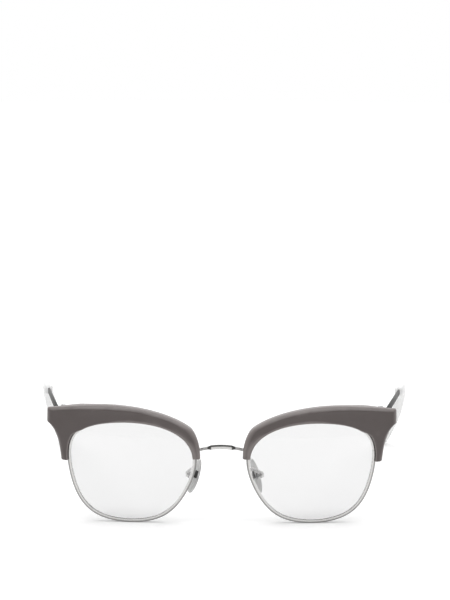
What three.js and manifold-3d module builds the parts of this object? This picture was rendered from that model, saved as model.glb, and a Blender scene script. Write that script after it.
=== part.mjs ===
// Browline spectacle frame: acetate brows over grooved metal eyewires, clear lenses, folding temples.
// Millimetres, +Z up. The front faces -Y, the temples run towards +Y, and the wearer's left is +X.
// The frame stands open on a table at z = 0, on the bottoms of the eyewires and the ends of the tips.

import * as THREE from 'three';
import { mergeVertices } from 'three/addons/utils/BufferGeometryUtils.js';
import Module from 'manifold-3d';

const wasm = await Module();
wasm.setup();

const DEGREE = Math.PI / 180;

// Lens and its curve
const LENS_WIDTH = 49.5;
const LENS_HEIGHT = 40.2;
const LENS_THICKNESS = 1.8;
const BRIDGE_GAP = 21.4;
const BASE_RADIUS = 130;
const WRAP_ANGLE = 4 * DEGREE;

// Control corners of the lens shape, as shares of half the lens box, from the nose over the top
const LENS_CORNERS = [
  [-1.13, 0.37], [-0.6, 0.95], [0.24, 1.05], [1.07, 0.84],
  [1.01, -0.12], [0.71, -0.97], [-0.27, -1.05], [-0.74, -0.71],
];

// Eyewire: a channel section with a groove for the bevelled lens edge
const RIM_DEPTH = 2.2;
const RIM_WALL = 0.5;
const RIM_CHAMFER = 0.25;
const SUNK_SHARE = 0.7;
const BEVEL_HEIGHT = 0.5;
const BEVEL_HALF_WIDTH = 0.55;
const LENS_CLEARANCE = 0.3;
const LENS_RING_SHARE = 0.5;

// Rim lock: the split block on the temple side that the lens is put in through
const LOCK_LEVEL = 8;
const LOCK_GAP = 0.5;
const LOCK_REACH = 2.6;
const LOCK_DEPTH = 2.4;
const LOCK_HEIGHT = 2.2;
const LOCK_SCREW_RADIUS = 0.6;
const LOCK_HEAD_RADIUS = 1;
const LOCK_HEAD_HEIGHT = 0.6;

// Brow: the acetate bar over each eyewire
const BROW_LIP = 1;
const BROW_DEPTH = 2.4;
const BROW_ROUND = 1.8;
const BROW_EDGE = 0.3;
const BROW_COVER = 0.1;
const NOSE_COVER = 2.3;
const NOSE_END_LEVEL = 5.2;
const NOSE_END_THICKNESS = 1.8;
const NOSE_SHOULDER_INSET = 1.7;
const NOSE_SHOULDER_DROP = 3.2;
const BROW_RISE = 5.6;
const BROW_PEAK_OUT = 10.3;
const LUG_REACH = 9.35;
const LUG_RISE = 3.8;
const LUG_HEIGHT = 5.4;
const LUG_DEPTH = 5.2;
const LUG_CORNER = 1;
const TAB_REACH = 3.3;
const TAB_LEVEL = 3.8;
const TAB_THICKNESS = 2;
const TAB_CORNER = 0.7;
const SEAT_INSET = 2;
const SEAT_DEPTH = 3.4;

// Handles of the curves along the brow's outer edge, as [across, up] shares of the curve's own span
const NOSE_HANDLE = 0.5;
const SHOULDER_IN = [0.07, 0.055];
const SHOULDER_OUT = [0.17, 0.13];
const PEAK_IN = 0.48;
const PEAK_OUT = 0.36;
const LUG_IN = [0.33, 0.035];
const FOOT_OUT = [0.29, 0.22];
const TAB_IN = [0.05, 0.43];

// Stations of the lens outline that face the corners of the brow and the changes in its depth
const SHOULDER_STATION = 0.85;
const PEAK_STATION = 2.05;
const LUG_TOP_STATION = 2.76;
const LUG_SIDE_STATION = 2.8;
const LUG_FOOT_STATION = 3;
const TAB_CORNER_STATIONS = 0.03;
const NOSE_THIN_STATIONS = 0.35;
const NOSE_SWELL_STATION = 0.95;
const LUG_SWELL_STATIONS = [2.15, 2.7];
const TAB_TAPER_STATIONS = [3, 3.25];
const TAB_INNER_STATIONS = [2.75, 3.1];

// Ears on the eyewire that the brow is screwed to, by their place on the lens shape
const EAR_STATIONS = [1.25, 2];
const EAR_WIDTH = 2.6;
const EAR_THICKNESS = 0.7;
const EAR_HEIGHT = 2.6;
const EAR_HOLE_SHARE = 0.55;
const BROW_SCREW_RADIUS = 0.5;
const BROW_HEAD_RADIUS = 0.9;
const BROW_HEAD_HEIGHT = 0.5;
const BROW_SCREW_FRONT = 1;

// Bridge: a wire with a thicker bar in the middle
const BRIDGE_LEVEL = 8.2;
const BRIDGE_WIRE_RADIUS = 0.6;
const BRIDGE_BAR_LENGTH = 8;
const BRIDGE_BAR_HEIGHT = 1.8;
const BRIDGE_BAR_DEPTH = 1.5;
const BRIDGE_SHOULDER = 1.4;
const BRIDGE_RISE = 1.3;
const BRIDGE_BOW = 1.2;
const BRIDGE_TUCK = 0.2;

// Nose pads, and the arms and boxes that carry them
const PAD_WIDTH = 7.4;
const PAD_HEIGHT = 14.4;
const PAD_THICKNESS = 1.4;
const PAD_SPACING = 24.2;
const PAD_SHIFT = 1.3;
const PAD_LEVEL = -3.7;
const PAD_SETBACK = 8.4;
const PAD_SPLAY = 25 * DEGREE;
const PAD_TILT = 18 * DEGREE;
const PAD_AXIS_OFFSET = 1.3;
const PAD_LUG_WIDTH = 0.9;
const PAD_LUG_HALF_HEIGHT = 0.8;
const PAD_LUG_TIP = 0.5;
const PAD_SCREW_RADIUS = 0.4;
const PAD_HEAD_RADIUS = 0.65;
const PAD_HEAD_HEIGHT = 0.35;
const BOX_CHEEK = 0.6;
const BOX_FRONT = 0.9;
const BOX_HEIGHT = 2.4;
const BOX_BACK = 0.45;
const ARM_RADIUS = 0.45;
const ARM_LEVEL = 1.4;
const ARM_BULGE = 1.6;

// Edge of the nose pad from its back to its face, as shares of its [size, thickness]
const PAD_EDGE = [[0.86, 0], [0.97, 0.16], [1, 0.42], [0.97, 0.7], [0.84, 0.92]];

// Hinge: two front knuckles, one temple knuckle and a screw
const HINGE_INSET = 6.3;
const KNUCKLE_RADIUS = 1.2;
const KNUCKLE_HEIGHT = 1.4;
const WEB_SHARE = 0.9;
const HINGE_SCREW_RADIUS = 0.6;
const HINGE_HEAD_RADIUS = 1;
const HINGE_HEAD_HEIGHT = 0.5;
const PLATE_LENGTH = 6.8;
const PLATE_HEIGHT = 4.4;
const PLATE_THICKNESS = 0.9;
const PLATE_SCREW_PITCH = 2.2;
const PLATE_SCREW_RADIUS = 0.45;
const PLATE_SCREW_DEPTH = 2.2;
const PLATE_HEAD_RADIUS = 0.8;
const PLATE_HEAD_HEIGHT = 0.4;

// Temple and its acetate tip
const TEMPLE_SPLAY = 7.3 * DEGREE;
const TEMPLE_SLOPE = 5.8 * DEGREE;
const TEMPLE_THICKNESS = 0.9;
const TEMPLE_HEIGHT = 3;
const TEMPLE_END_HEIGHT = 2.3;
const TEMPLE_CHAMFER = 0.2;
const CORE_HEIGHT = 1.6;
const CORE_THICKNESS = 0.6;
const CORE_LENGTH = 14;
const CORE_ROOT = 1;
const BEND_START = 88;
const BEND_RADIUS = 22;
const BEND_ANGLE = 38 * DEGREE;
const TIP_OVERLAP = 11;
const TIP_THICKNESS = 4;
const TIP_HEIGHT = 5;
const TIP_END_THICKNESS = 4.8;
const TIP_END_HEIGHT = 6.2;
const TIP_INWARD = 10;
const TIP_INWARD_POWER = 1.8;
const TIP_SQUARENESS = 2.6;
const TIP_END_SHARE = 0.35;

// Screw heads: shares of the head's radius and height that its chamfer leaves
const HEAD_TOP_SHARE = 0.8;
const HEAD_CHAMFER_SHARE = 0.4;

// Clearances
const SEAT_GAP = 0.2;
const RUNNING_GAP = 0.15;
const CUT_PAST = 3;

// Facet counts
const RIM_STEPS = 60;
const LENS_STEPS = 48;
const SCREW_SIDES = 8;
const BARREL_SIDES = 16;
const WIRE_SIDES = 10;
const ROUND_STEPS = 5;
const BROW_STEPS = [6, 8, 8, 3, 3, 8, 2];
const PAD_STEPS = 24;
const ARM_STEPS = 12;
const CORE_STEPS = 6;
const BEND_STEPS = 6;
const TIP_SIDES = 12;
const LEG_SHARES = [0.35, 0.7, 1];
const DOME_SHARES = [0.4, 0.7, 0.9, 0.98];
const OUTLINE_SAMPLES = 400;
const HALVINGS = 40;

// Places worked out from the sizes above
const HALF_WIDTH = LENS_WIDTH / 2;
const HALF_HEIGHT = LENS_HEIGHT / 2;
const RIM_OUTER = LENS_CLEARANCE + RIM_WALL;
const LENS_CENTRE_X = (BRIDGE_GAP + LENS_WIDTH) / 2;
const LENS_CENTRE_Z = RIM_OUTER + HALF_HEIGHT;
const FRONT_FACE = -(RIM_DEPTH / 2 + SEAT_GAP + BROW_LIP);
const LUG_END = HALF_WIDTH + LUG_REACH;
const LUG_TOP = HALF_HEIGHT + LUG_RISE;
const LUG_LEVEL = LUG_TOP - LUG_HEIGHT / 2;
const HINGE_REACH = KNUCKLE_RADIUS + RUNNING_GAP * 2;
const SUNK = RIM_WALL * SUNK_SHARE;
const CUT_DEPTH = LUG_DEPTH * 2;

const ACETATE_GREY = new THREE.MeshStandardMaterial({ color: 0x5b5452, roughness: 0.35, metalness: 0 });
const ACETATE_PALE = new THREE.MeshStandardMaterial({ color: 0xebebeb, roughness: 0.3, metalness: 0 });
const SILVER = new THREE.MeshStandardMaterial({ color: 0xc4c2c0, roughness: 0.25, metalness: 1 });
const SATIN_SILVER = new THREE.MeshStandardMaterial({ color: 0xb8b8b8, roughness: 0.45, metalness: 1 });
const CLEAR_LENS = new THREE.MeshStandardMaterial({
  color: 0xf6f6f6, roughness: 0.05, metalness: 0, transparent: true, opacity: 0.2,
});

// Helpers for closed solids

// Six times the volume that the triangles enclose; negative when the faces point inwards.
function signedVolume(positions, indices) {
  const [a, b, c] = [new THREE.Vector3(), new THREE.Vector3(), new THREE.Vector3()];
  let total = 0;
  for (let i = 0; i < indices.length; i += 3) {
    a.fromArray(positions, indices[i] * 3);
    b.fromArray(positions, indices[i + 1] * 3);
    c.fromArray(positions, indices[i + 2] * 3);
    total += a.dot(b.cross(c));
  }
  return total;
}

// Geometry from points and triangles, with the faces turned outwards.
function closedGeometry(positions, indices) {
  const facing = signedVolume(positions, indices) < 0 ? indices.slice().reverse() : indices;
  const geometry = new THREE.BufferGeometry();
  geometry.setAttribute('position', new THREE.Float32BufferAttribute(positions, 3));
  geometry.setIndex(facing);
  return geometry;
}

// Skin over rings of equal point counts; flat rings [x, y] close the two ends unless the path is a loop.
function loft(rings, loop, flatRing) {
  const count = rings[0].length;
  const positions = rings.flat().flatMap((point) => point.toArray());
  const indices = [];
  const spans = loop ? rings.length : rings.length - 1;
  for (let i = 0; i < spans; i += 1) {
    const next = (i + 1) % rings.length;
    for (let j = 0; j < count; j += 1) {
      const k = (j + 1) % count;
      const [a, b, c, d] = [i * count + j, i * count + k, next * count + k, next * count + j];
      indices.push(a, b, c, a, c, d);
    }
  }
  if (!loop) {
    const flat = flatRing.map(([x, y]) => new THREE.Vector2(x, y));
    const last = (rings.length - 1) * count;
    for (const [a, b, c] of THREE.ShapeUtils.triangulateShape(flat, [])) {
      indices.push(b, a, c, last + a, last + b, last + c);
    }
  }
  return closedGeometry(positions, capsMatchingSkin(indices, spans * count * 6));
}

// End caps wound against the skin: the first cap triangle that shares a skin edge decides for both caps.
function capsMatchingSkin(indices, skinLength) {
  const edges = new Set();
  for (let i = 0; i < skinLength; i += 3) {
    for (let j = 0; j < 3; j += 1) {
      edges.add(`${indices[i + j]},${indices[i + (j + 1) % 3]}`);
    }
  }
  const cap = indices.slice(skinLength);
  const clashes = cap.some((from, i) => {
    const to = cap[i - (i % 3) + ((i + 1) % 3)];
    return edges.has(`${from},${to}`);
  });
  return indices.slice(0, skinLength).concat(clashes ? cap.reverse() : cap);
}

// Skin over rings that closes on a single point at each end.
function domedLoft(startPoint, rings, endPoint) {
  const count = rings[0].length;
  const positions = [startPoint, ...rings.flat(), endPoint].flatMap((point) => point.toArray());
  const end = rings.length * count + 1;
  const indices = [];
  for (let j = 0; j < count; j += 1) {
    const k = (j + 1) % count;
    indices.push(0, 1 + k, 1 + j, end, end - count + j, end - count + k);
    for (let i = 0; i < rings.length - 1; i += 1) {
      const [a, b] = [1 + i * count + j, 1 + i * count + k];
      indices.push(a, b, b + count, a, b + count, a + count);
    }
  }
  return closedGeometry(positions, indices);
}

function toSolid(geometry) {
  const bare = geometry.clone();
  bare.deleteAttribute('normal');
  bare.deleteAttribute('uv');
  const merged = mergeVertices(bare, 1e-5);
  return new wasm.Manifold(new wasm.Mesh({
    numProp: 3,
    vertProperties: new Float32Array(merged.attributes.position.array),
    triVerts: new Uint32Array(merged.index.array),
  }));
}

function toGeometry(solid) {
  const mesh = solid.getMesh();
  const geometry = new THREE.BufferGeometry();
  geometry.setAttribute('position', new THREE.Float32BufferAttribute(mesh.vertProperties, 3));
  geometry.setIndex(Array.from(mesh.triVerts));
  return geometry;
}

// Geometries joined to the first one, then others cut away.
function combine(joined, cut) {
  let solid = toSolid(joined[0]);
  for (const geometry of joined.slice(1)) {
    solid = solid.add(toSolid(geometry));
  }
  for (const geometry of cut) {
    solid = solid.subtract(toSolid(geometry));
  }
  return toGeometry(solid);
}

// Cylinder between two points.
function rod(from, to, radius, sides) {
  const axis = to.clone().sub(from);
  const geometry = new THREE.CylinderGeometry(radius, radius, axis.length(), sides);
  const turn = new THREE.Quaternion().setFromUnitVectors(new THREE.Vector3(0, 1, 0), axis.normalize());
  const middle = from.clone().add(to).multiplyScalar(0.5);
  return geometry.applyMatrix4(new THREE.Matrix4().compose(middle, turn, new THREE.Vector3(1, 1, 1)));
}

// Box between two corners.
function block(x0, x1, y0, y1, z0, z1) {
  const geometry = new THREE.BoxGeometry(x1 - x0, y1 - y0, z1 - z0);
  return geometry.translate((x0 + x1) / 2, (y0 + y1) / 2, (z0 + z1) / 2);
}

// Screw turned about its axis: a head at the start point and a shank towards the end point.
function screw(head, end, shankRadius, headRadius, headHeight) {
  const axis = end.clone().sub(head);
  const length = axis.length();
  const profile = [
    [0, 0], [headRadius * HEAD_TOP_SHARE, 0], [headRadius, headHeight * HEAD_CHAMFER_SHARE],
    [headRadius, headHeight], [shankRadius, headHeight], [shankRadius, length], [0, length],
  ].map(([x, y]) => new THREE.Vector2(x, y));
  const geometry = new THREE.LatheGeometry(profile, SCREW_SIDES);
  const turn = new THREE.Quaternion().setFromUnitVectors(new THREE.Vector3(0, 1, 0), axis.normalize());
  return geometry.applyMatrix4(new THREE.Matrix4().compose(head, turn, new THREE.Vector3(1, 1, 1)));
}

// Front surface and lens outline, both about the centre of the +X lens

// How far the front surface has curved back at across and up: a bowl that runs on straight past the lens.
function sag(across, up) {
  const edge = HALF_WIDTH + RIM_OUTER;
  const flat = Math.min(across, edge);
  const beyond = across - flat;
  return (flat * flat + 2 * edge * beyond + up * up) / (2 * BASE_RADIUS);
}

// Point at across and up, set back from the front surface.
function onFront(across, up, back) {
  return new THREE.Vector3(across, sag(across, up) + back, up);
}

// The same point in the frame of the whole spectacles.
function onFrame(across, up, back) {
  const point = onFront(across, up, back).applyAxisAngle(new THREE.Vector3(0, 0, 1), WRAP_ANGLE);
  return point.add(new THREE.Vector3(LENS_CENTRE_X, 0, LENS_CENTRE_Z));
}

// Uniform cubic spline round the control corners: place and direction at station t.
function cornerSpline(t) {
  const count = LENS_CORNERS.length;
  const start = Math.floor(t);
  const f = t - start;
  const weights = [
    (1 - f) ** 3, 3 * f ** 3 - 6 * f ** 2 + 4, -3 * f ** 3 + 3 * f ** 2 + 3 * f + 1, f ** 3,
  ];
  const slopes = [-((1 - f) ** 2), 3 * f ** 2 - 4 * f, -3 * f ** 2 + 2 * f + 1, f ** 2];
  const place = new THREE.Vector2();
  const direction = new THREE.Vector2();
  for (let k = 0; k < 4; k += 1) {
    const corner = new THREE.Vector2(...LENS_CORNERS[(start + k - 1 + count) % count]);
    place.addScaledVector(corner, weights[k] / 6);
    direction.addScaledVector(corner, slopes[k] / 2);
  }
  return { place, direction };
}

// Box that the spline fills, so that the outline can be stretched to the lens box.
const splineBox = new THREE.Box2();
for (let i = 0; i < OUTLINE_SAMPLES; i += 1) {
  splineBox.expandByPoint(cornerSpline((i / OUTLINE_SAMPLES) * LENS_CORNERS.length).place);
}
const splineCentre = splineBox.getCenter(new THREE.Vector2());
const splineSize = splineBox.getSize(new THREE.Vector2());
const splineScale = new THREE.Vector2(LENS_WIDTH, LENS_HEIGHT).divide(splineSize);

// Lens outline at station t, moved outwards: place and outward normal.
function outline(t, outwards = 0) {
  const { place, direction } = cornerSpline(t);
  const along = direction.multiply(splineScale).normalize();
  const normal = new THREE.Vector2(-along.y, along.x);
  const point = place.sub(splineCentre).multiply(splineScale).addScaledVector(normal, outwards);
  return { point, normal };
}

// Station between two others where the outline passes a height.
function stationAt(level, low, high) {
  let [a, b] = [low, high];
  const rising = outline(b).point.y > outline(a).point.y;
  for (let i = 0; i < HALVINGS; i += 1) {
    const middle = (a + b) / 2;
    if ((outline(middle).point.y < level) === rising) {
      a = middle;
    } else {
      b = middle;
    }
  }
  return (a + b) / 2;
}

// Section [outwards, back] carried along the outline between two stations.
function alongOutline(section, from, to, steps) {
  const loop = to - from >= LENS_CORNERS.length;
  const rings = [];
  for (let i = 0; i < steps + (loop ? 0 : 1); i += 1) {
    const t = from + ((to - from) * i) / steps;
    rings.push(section.map(([outwards, back]) => {
      const { point } = outline(t, outwards);
      return onFront(point.x, point.y, back);
    }));
  }
  return loft(rings, loop, section);
}

// Stretches of the outline up the nose side and down the temple side, and the stations pieces share
const NOSE_SIDE = [-1.2, 1];
const TEMPLE_SIDE = [2.9, 4.2];
const NOSE_STATION = stationAt(NOSE_END_LEVEL, ...NOSE_SIDE);
const TAB_STATION = stationAt(TAB_LEVEL, ...TEMPLE_SIDE);
const LOCK_STATION = stationAt(LOCK_LEVEL, ...TEMPLE_SIDE);

// Eyewire, rim lock and lens

// Corner of the rim lock nearest the lens, in front-surface terms.
function lockPlace() {
  const { point } = outline(LOCK_STATION, RIM_OUTER);
  const inner = point.x - SUNK;
  const front = sag(point.x, point.y) + FRONT_FACE + TAB_THICKNESS + SEAT_GAP;
  return { inner, front, level: point.y, screwAcross: point.x + LOCK_REACH / 2 };
}

// Room that the rim lock and its screw head need behind the tab of the brow.
function lockRoom() {
  const { inner, front, level } = lockPlace();
  const outer = inner + LOCK_REACH + SUNK + SEAT_GAP;
  const reach = LOCK_GAP / 2 + LOCK_HEIGHT + SEAT_GAP * 2;
  const low = level - reach - LOCK_HEAD_HEIGHT;
  return block(inner, outer, front - SEAT_GAP, front + CUT_DEPTH, low, level + reach);
}

function lockBlocks() {
  const { inner, front, level } = lockPlace();
  const outer = inner + LOCK_REACH + SUNK;
  const half = LOCK_GAP / 2;
  return [
    block(inner, outer, front, front + LOCK_DEPTH, level + half, level + half + LOCK_HEIGHT),
    block(inner, outer, front, front + LOCK_DEPTH, level - half - LOCK_HEIGHT, level - half),
  ];
}

function lockAxis() {
  const { front, level, screwAcross } = lockPlace();
  const back = front + LOCK_DEPTH / 2;
  const reach = LOCK_GAP / 2 + LOCK_HEIGHT;
  const below = new THREE.Vector3(screwAcross, back, level - reach - SEAT_GAP - LOCK_HEAD_HEIGHT);
  const above = new THREE.Vector3(screwAcross, back, level + reach);
  return { below, above };
}

// Plate that stands on the eyewire at a station, grown on every side by a clearance.
function ear(t, clearance) {
  const { point, normal } = outline(t, RIM_OUTER);
  const plate = block(
    -EAR_WIDTH / 2 - clearance, EAR_WIDTH / 2 + clearance,
    -EAR_THICKNESS / 2 - clearance, EAR_THICKNESS / 2 + clearance,
    -SUNK, EAR_HEIGHT + clearance,
  );
  plate.rotateY(Math.atan2(normal.x, normal.y));
  return plate.translate(point.x, sag(point.x, point.y), point.y);
}

// Ends of the brow screw through an ear: from behind the brow's back face into its front wall.
function browScrewAxis(t) {
  const { point } = outline(t, RIM_OUTER + EAR_HEIGHT * EAR_HOLE_SHARE);
  const back = sag(point.x, point.y);
  const head = back + browBack(t) + SEAT_GAP + BROW_HEAD_HEIGHT;
  return {
    head: new THREE.Vector3(point.x, head, point.y),
    end: new THREE.Vector3(point.x, back - BROW_SCREW_FRONT, point.y),
  };
}

function eyewire() {
  const half = RIM_DEPTH / 2;
  const flare = BEVEL_HALF_WIDTH / (BEVEL_HEIGHT + SEAT_GAP);
  const mouth = flare * (BEVEL_HEIGHT + LENS_CLEARANCE) + RUNNING_GAP;
  const section = [
    [-BEVEL_HEIGHT, -half], [RIM_OUTER - RIM_CHAMFER, -half], [RIM_OUTER, -half + RIM_CHAMFER],
    [RIM_OUTER, half - RIM_CHAMFER], [RIM_OUTER - RIM_CHAMFER, half], [-BEVEL_HEIGHT, half],
    [-BEVEL_HEIGHT, mouth], [LENS_CLEARANCE, 0], [-BEVEL_HEIGHT, -mouth],
  ];
  const below = stationAt(LOCK_LEVEL - LOCK_GAP / 2, ...TEMPLE_SIDE);
  const above = stationAt(LOCK_LEVEL + LOCK_GAP / 2, ...TEMPLE_SIDE);
  const wire = alongOutline(section, below, above + LENS_CORNERS.length, RIM_STEPS);
  const { below: lockHead, above: lockEnd } = lockAxis();
  const holes = EAR_STATIONS.map((t) => {
    const { head, end } = browScrewAxis(t);
    return rod(head, end, BROW_SCREW_RADIUS + SEAT_GAP, SCREW_SIDES);
  });
  const lockTop = lockEnd.clone().add(new THREE.Vector3(0, 0, SEAT_GAP));
  holes.push(rod(lockHead, lockTop, LOCK_SCREW_RADIUS + SEAT_GAP, SCREW_SIDES));
  const ears = EAR_STATIONS.map((t) => ear(t, 0));
  return combine([wire, ...lockBlocks(), ...ears], holes);
}

function lockScrew() {
  const { below, above } = lockAxis();
  return screw(below, above, LOCK_SCREW_RADIUS, LOCK_HEAD_RADIUS, LOCK_HEAD_HEIGHT);
}

// Meniscus lens: rings over the front face, the bevel, and rings back over the rear face.
function lens() {
  const half = LENS_THICKNESS / 2;
  const land = -(BEVEL_HEIGHT + SEAT_GAP);
  const rows = [
    [LENS_RING_SHARE, land, -half], [1, land, -half], [1, land, -BEVEL_HALF_WIDTH], [1, 0, 0],
    [1, land, BEVEL_HALF_WIDTH], [1, land, half], [LENS_RING_SHARE, land, half],
  ];
  const rings = rows.map(([share, outwards, back]) => {
    const ring = [];
    for (let i = 0; i < LENS_STEPS; i += 1) {
      const { point } = outline((i / LENS_STEPS) * LENS_CORNERS.length, outwards);
      ring.push(onFront(point.x * share, point.y * share, back));
    }
    return ring;
  });
  return domedLoft(onFront(0, 0, -half), rings, onFront(0, 0, half));
}

// Brow

// Curve between two points of the brow's edge, with handles given as [across, up] steps from each.
function edgeCurve(from, leave, arrive, to) {
  const first = from.clone().add(new THREE.Vector2(...leave));
  const second = to.clone().sub(new THREE.Vector2(...arrive));
  return new THREE.CubicBezierCurve(from, first, second, to);
}

// Outer edge of the brow: nose side, arch, lug end and the curve down to the tab, one curve each.
function browEdges() {
  const point = (x, y) => new THREE.Vector2(x, y);
  const scaled = (shares, span) => shares.map((share) => share * span);
  const nose = point(-HALF_WIDTH - NOSE_COVER, NOSE_END_LEVEL);
  const shoulder = point(-HALF_WIDTH + NOSE_SHOULDER_INSET, HALF_HEIGHT - NOSE_SHOULDER_DROP);
  const peak = point(BROW_PEAK_OUT, HALF_HEIGHT + BROW_RISE);
  const lugTop = point(LUG_END - LUG_CORNER, LUG_TOP);
  const lugSide = point(LUG_END, LUG_TOP - LUG_CORNER);
  const lugFoot = point(LUG_END, LUG_TOP - LUG_HEIGHT);
  const tabSide = point(HALF_WIDTH + TAB_REACH, TAB_LEVEL + TAB_CORNER);
  const tabFoot = point(HALF_WIDTH + TAB_REACH - TAB_CORNER, TAB_LEVEL);
  const climb = shoulder.y - nose.y;
  const arch = peak.x - shoulder.x;
  const wing = lugTop.x - peak.x;
  const drop = lugFoot.y - tabSide.y;
  const lugArrive = [wing * LUG_IN[0], -wing * LUG_IN[1]];
  return [
    edgeCurve(nose, [0, climb * NOSE_HANDLE], scaled(SHOULDER_IN, arch), shoulder),
    edgeCurve(shoulder, scaled(SHOULDER_OUT, arch), [arch * PEAK_IN, 0], peak),
    edgeCurve(peak, [wing * PEAK_OUT, 0], lugArrive, lugTop),
    new THREE.QuadraticBezierCurve(lugTop, point(LUG_END, LUG_TOP), lugSide),
    new THREE.LineCurve(lugSide, lugFoot),
    edgeCurve(lugFoot, scaled(FOOT_OUT, -drop), [-drop * TAB_IN[0], -drop * TAB_IN[1]], tabSide),
    new THREE.QuadraticBezierCurve(tabSide, point(tabSide.x, tabFoot.y), tabFoot),
  ];
}

// Stations of the lens outline that face the ends of those curves.
const BROW_STATIONS = [
  NOSE_STATION, SHOULDER_STATION, PEAK_STATION, LUG_TOP_STATION, LUG_SIDE_STATION, LUG_FOOT_STATION,
  TAB_STATION - TAB_CORNER_STATIONS, TAB_STATION,
];

// Depth of the brow behind its front face by station: thin at the nose and tab, deep at the lug.
function browBack(t) {
  const nose = FRONT_FACE + NOSE_END_THICKNESS;
  const tab = FRONT_FACE + TAB_THICKNESS;
  const swell = THREE.MathUtils.smoothstep(t, NOSE_STATION + NOSE_THIN_STATIONS, NOSE_SWELL_STATION);
  const lug = THREE.MathUtils.smoothstep(t, ...LUG_SWELL_STATIONS);
  const taper = THREE.MathUtils.smoothstep(t, ...TAB_TAPER_STATIONS);
  const body = nose + (BROW_DEPTH - nose) * swell + (LUG_DEPTH - BROW_DEPTH) * lug;
  return body + (tab - body) * taper;
}

// Inner edge of the brow: over the eyewire's inner edge, then outside it along the tab.
function browInner(t) {
  const covered = -BEVEL_HEIGHT - BROW_COVER;
  const beside = RIM_OUTER - SEAT_GAP;
  return covered + (beside - covered) * THREE.MathUtils.smoothstep(t, ...TAB_INNER_STATIONS);
}

// Section of the brow as [along, depth] corners: a rounded outer front edge, eased other edges.
function browCorners(width, back) {
  const round = Math.min(BROW_ROUND, width / 3);
  const edge = Math.min(BROW_EDGE, width / 6);
  const corners = [[0, FRONT_FACE + edge], [edge, FRONT_FACE]];
  for (let k = 0; k <= ROUND_STEPS; k += 1) {
    const angle = (k / ROUND_STEPS) * 90 * DEGREE;
    corners.push([width - round + round * Math.sin(angle), FRONT_FACE + round - round * Math.cos(angle)]);
  }
  corners.push([width, back - edge], [width - edge, back], [edge, back], [0, back - edge]);
  return corners;
}

// Ring of the brow between an inner and an outer point of the front surface.
function browRing(inner, outer, back) {
  const width = inner.distanceTo(outer);
  return browCorners(width, back).map(([along, depth]) => {
    const place = inner.clone().lerp(outer, along / width);
    return onFront(place.x, place.y, depth);
  });
}

function browBlank() {
  const rings = [];
  browEdges().forEach((curve, i) => {
    const [from, to] = [BROW_STATIONS[i], BROW_STATIONS[i + 1]];
    for (let j = i === 0 ? 0 : 1; j <= BROW_STEPS[i]; j += 1) {
      const share = j / BROW_STEPS[i];
      const t = from + (to - from) * share;
      const { point } = outline(t, browInner(t));
      rings.push(browRing(point, curve.getPoint(share), browBack(t)));
    }
  });
  return loft(rings, false, browCorners(NOSE_COVER, FRONT_FACE + NOSE_END_THICKNESS));
}

// Flat seat of the hinge plate on the back of the lug, in the frame of the whole spectacles.
const SEAT_Y = onFrame(HALF_WIDTH - SEAT_INSET, LUG_LEVEL, SEAT_DEPTH).y;
const HINGE_X = onFrame(LUG_END - HINGE_INSET, LUG_LEVEL, 0).x;
const HINGE_Z = LENS_CENTRE_Z + LUG_LEVEL;
const HINGE_Y = SEAT_Y + SEAT_GAP + PLATE_THICKNESS + HINGE_REACH;

// A geometry of the hinge's frame, moved into the frame of the +X lens.
function hingeToLens(geometry) {
  geometry.translate(HINGE_X - LENS_CENTRE_X, HINGE_Y, HINGE_Z - LENS_CENTRE_Z);
  return geometry.rotateZ(-WRAP_ANGLE);
}

function brow() {
  const half = RIM_DEPTH / 2 + SEAT_GAP;
  const reach = RIM_OUTER + SEAT_GAP;
  const room = [[-CUT_PAST, -half], [reach, -half], [reach, CUT_DEPTH], [-CUT_PAST, CUT_DEPTH]];
  const rimRoom = alongOutline(room, 0, LENS_CORNERS.length, RIM_STEPS);
  const seat = SEAT_Y - HINGE_Y;
  const inner = -PLATE_LENGTH - LUG_CORNER;
  const behindLug = block(inner, LUG_REACH, seat, seat + CUT_DEPTH, -CUT_DEPTH, CUT_DEPTH);
  const cuts = [rimRoom, lockRoom(), hingeToLens(behindLug)];
  for (const t of EAR_STATIONS) {
    const { head, end } = browScrewAxis(t);
    const tip = end.clone().add(new THREE.Vector3(0, -SEAT_GAP, 0));
    cuts.push(ear(t, SEAT_GAP), rod(head, tip, BROW_SCREW_RADIUS + SEAT_GAP, SCREW_SIDES));
  }
  for (const { head, end } of plateScrewAxes()) {
    const tip = end.clone().add(new THREE.Vector3(0, -SEAT_GAP, 0));
    cuts.push(hingeToLens(rod(head, tip, PLATE_SCREW_RADIUS + SEAT_GAP, SCREW_SIDES)));
  }
  return combine([browBlank()], cuts);
}

function browScrew(t) {
  const { head, end } = browScrewAxis(t);
  return screw(head, end, BROW_SCREW_RADIUS, BROW_HEAD_RADIUS, BROW_HEAD_HEIGHT);
}

// Bridge

// Half height and half depth of the bridge at a distance from its middle.
function bridgeSize(distance) {
  const half = BRIDGE_BAR_LENGTH / 2;
  const share = 1 - THREE.MathUtils.smoothstep(distance, half, half + BRIDGE_SHOULDER);
  return {
    height: BRIDGE_WIRE_RADIUS + (BRIDGE_BAR_HEIGHT / 2 - BRIDGE_WIRE_RADIUS) * share,
    depth: BRIDGE_WIRE_RADIUS + (BRIDGE_BAR_DEPTH / 2 - BRIDGE_WIRE_RADIUS) * share,
  };
}

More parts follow.
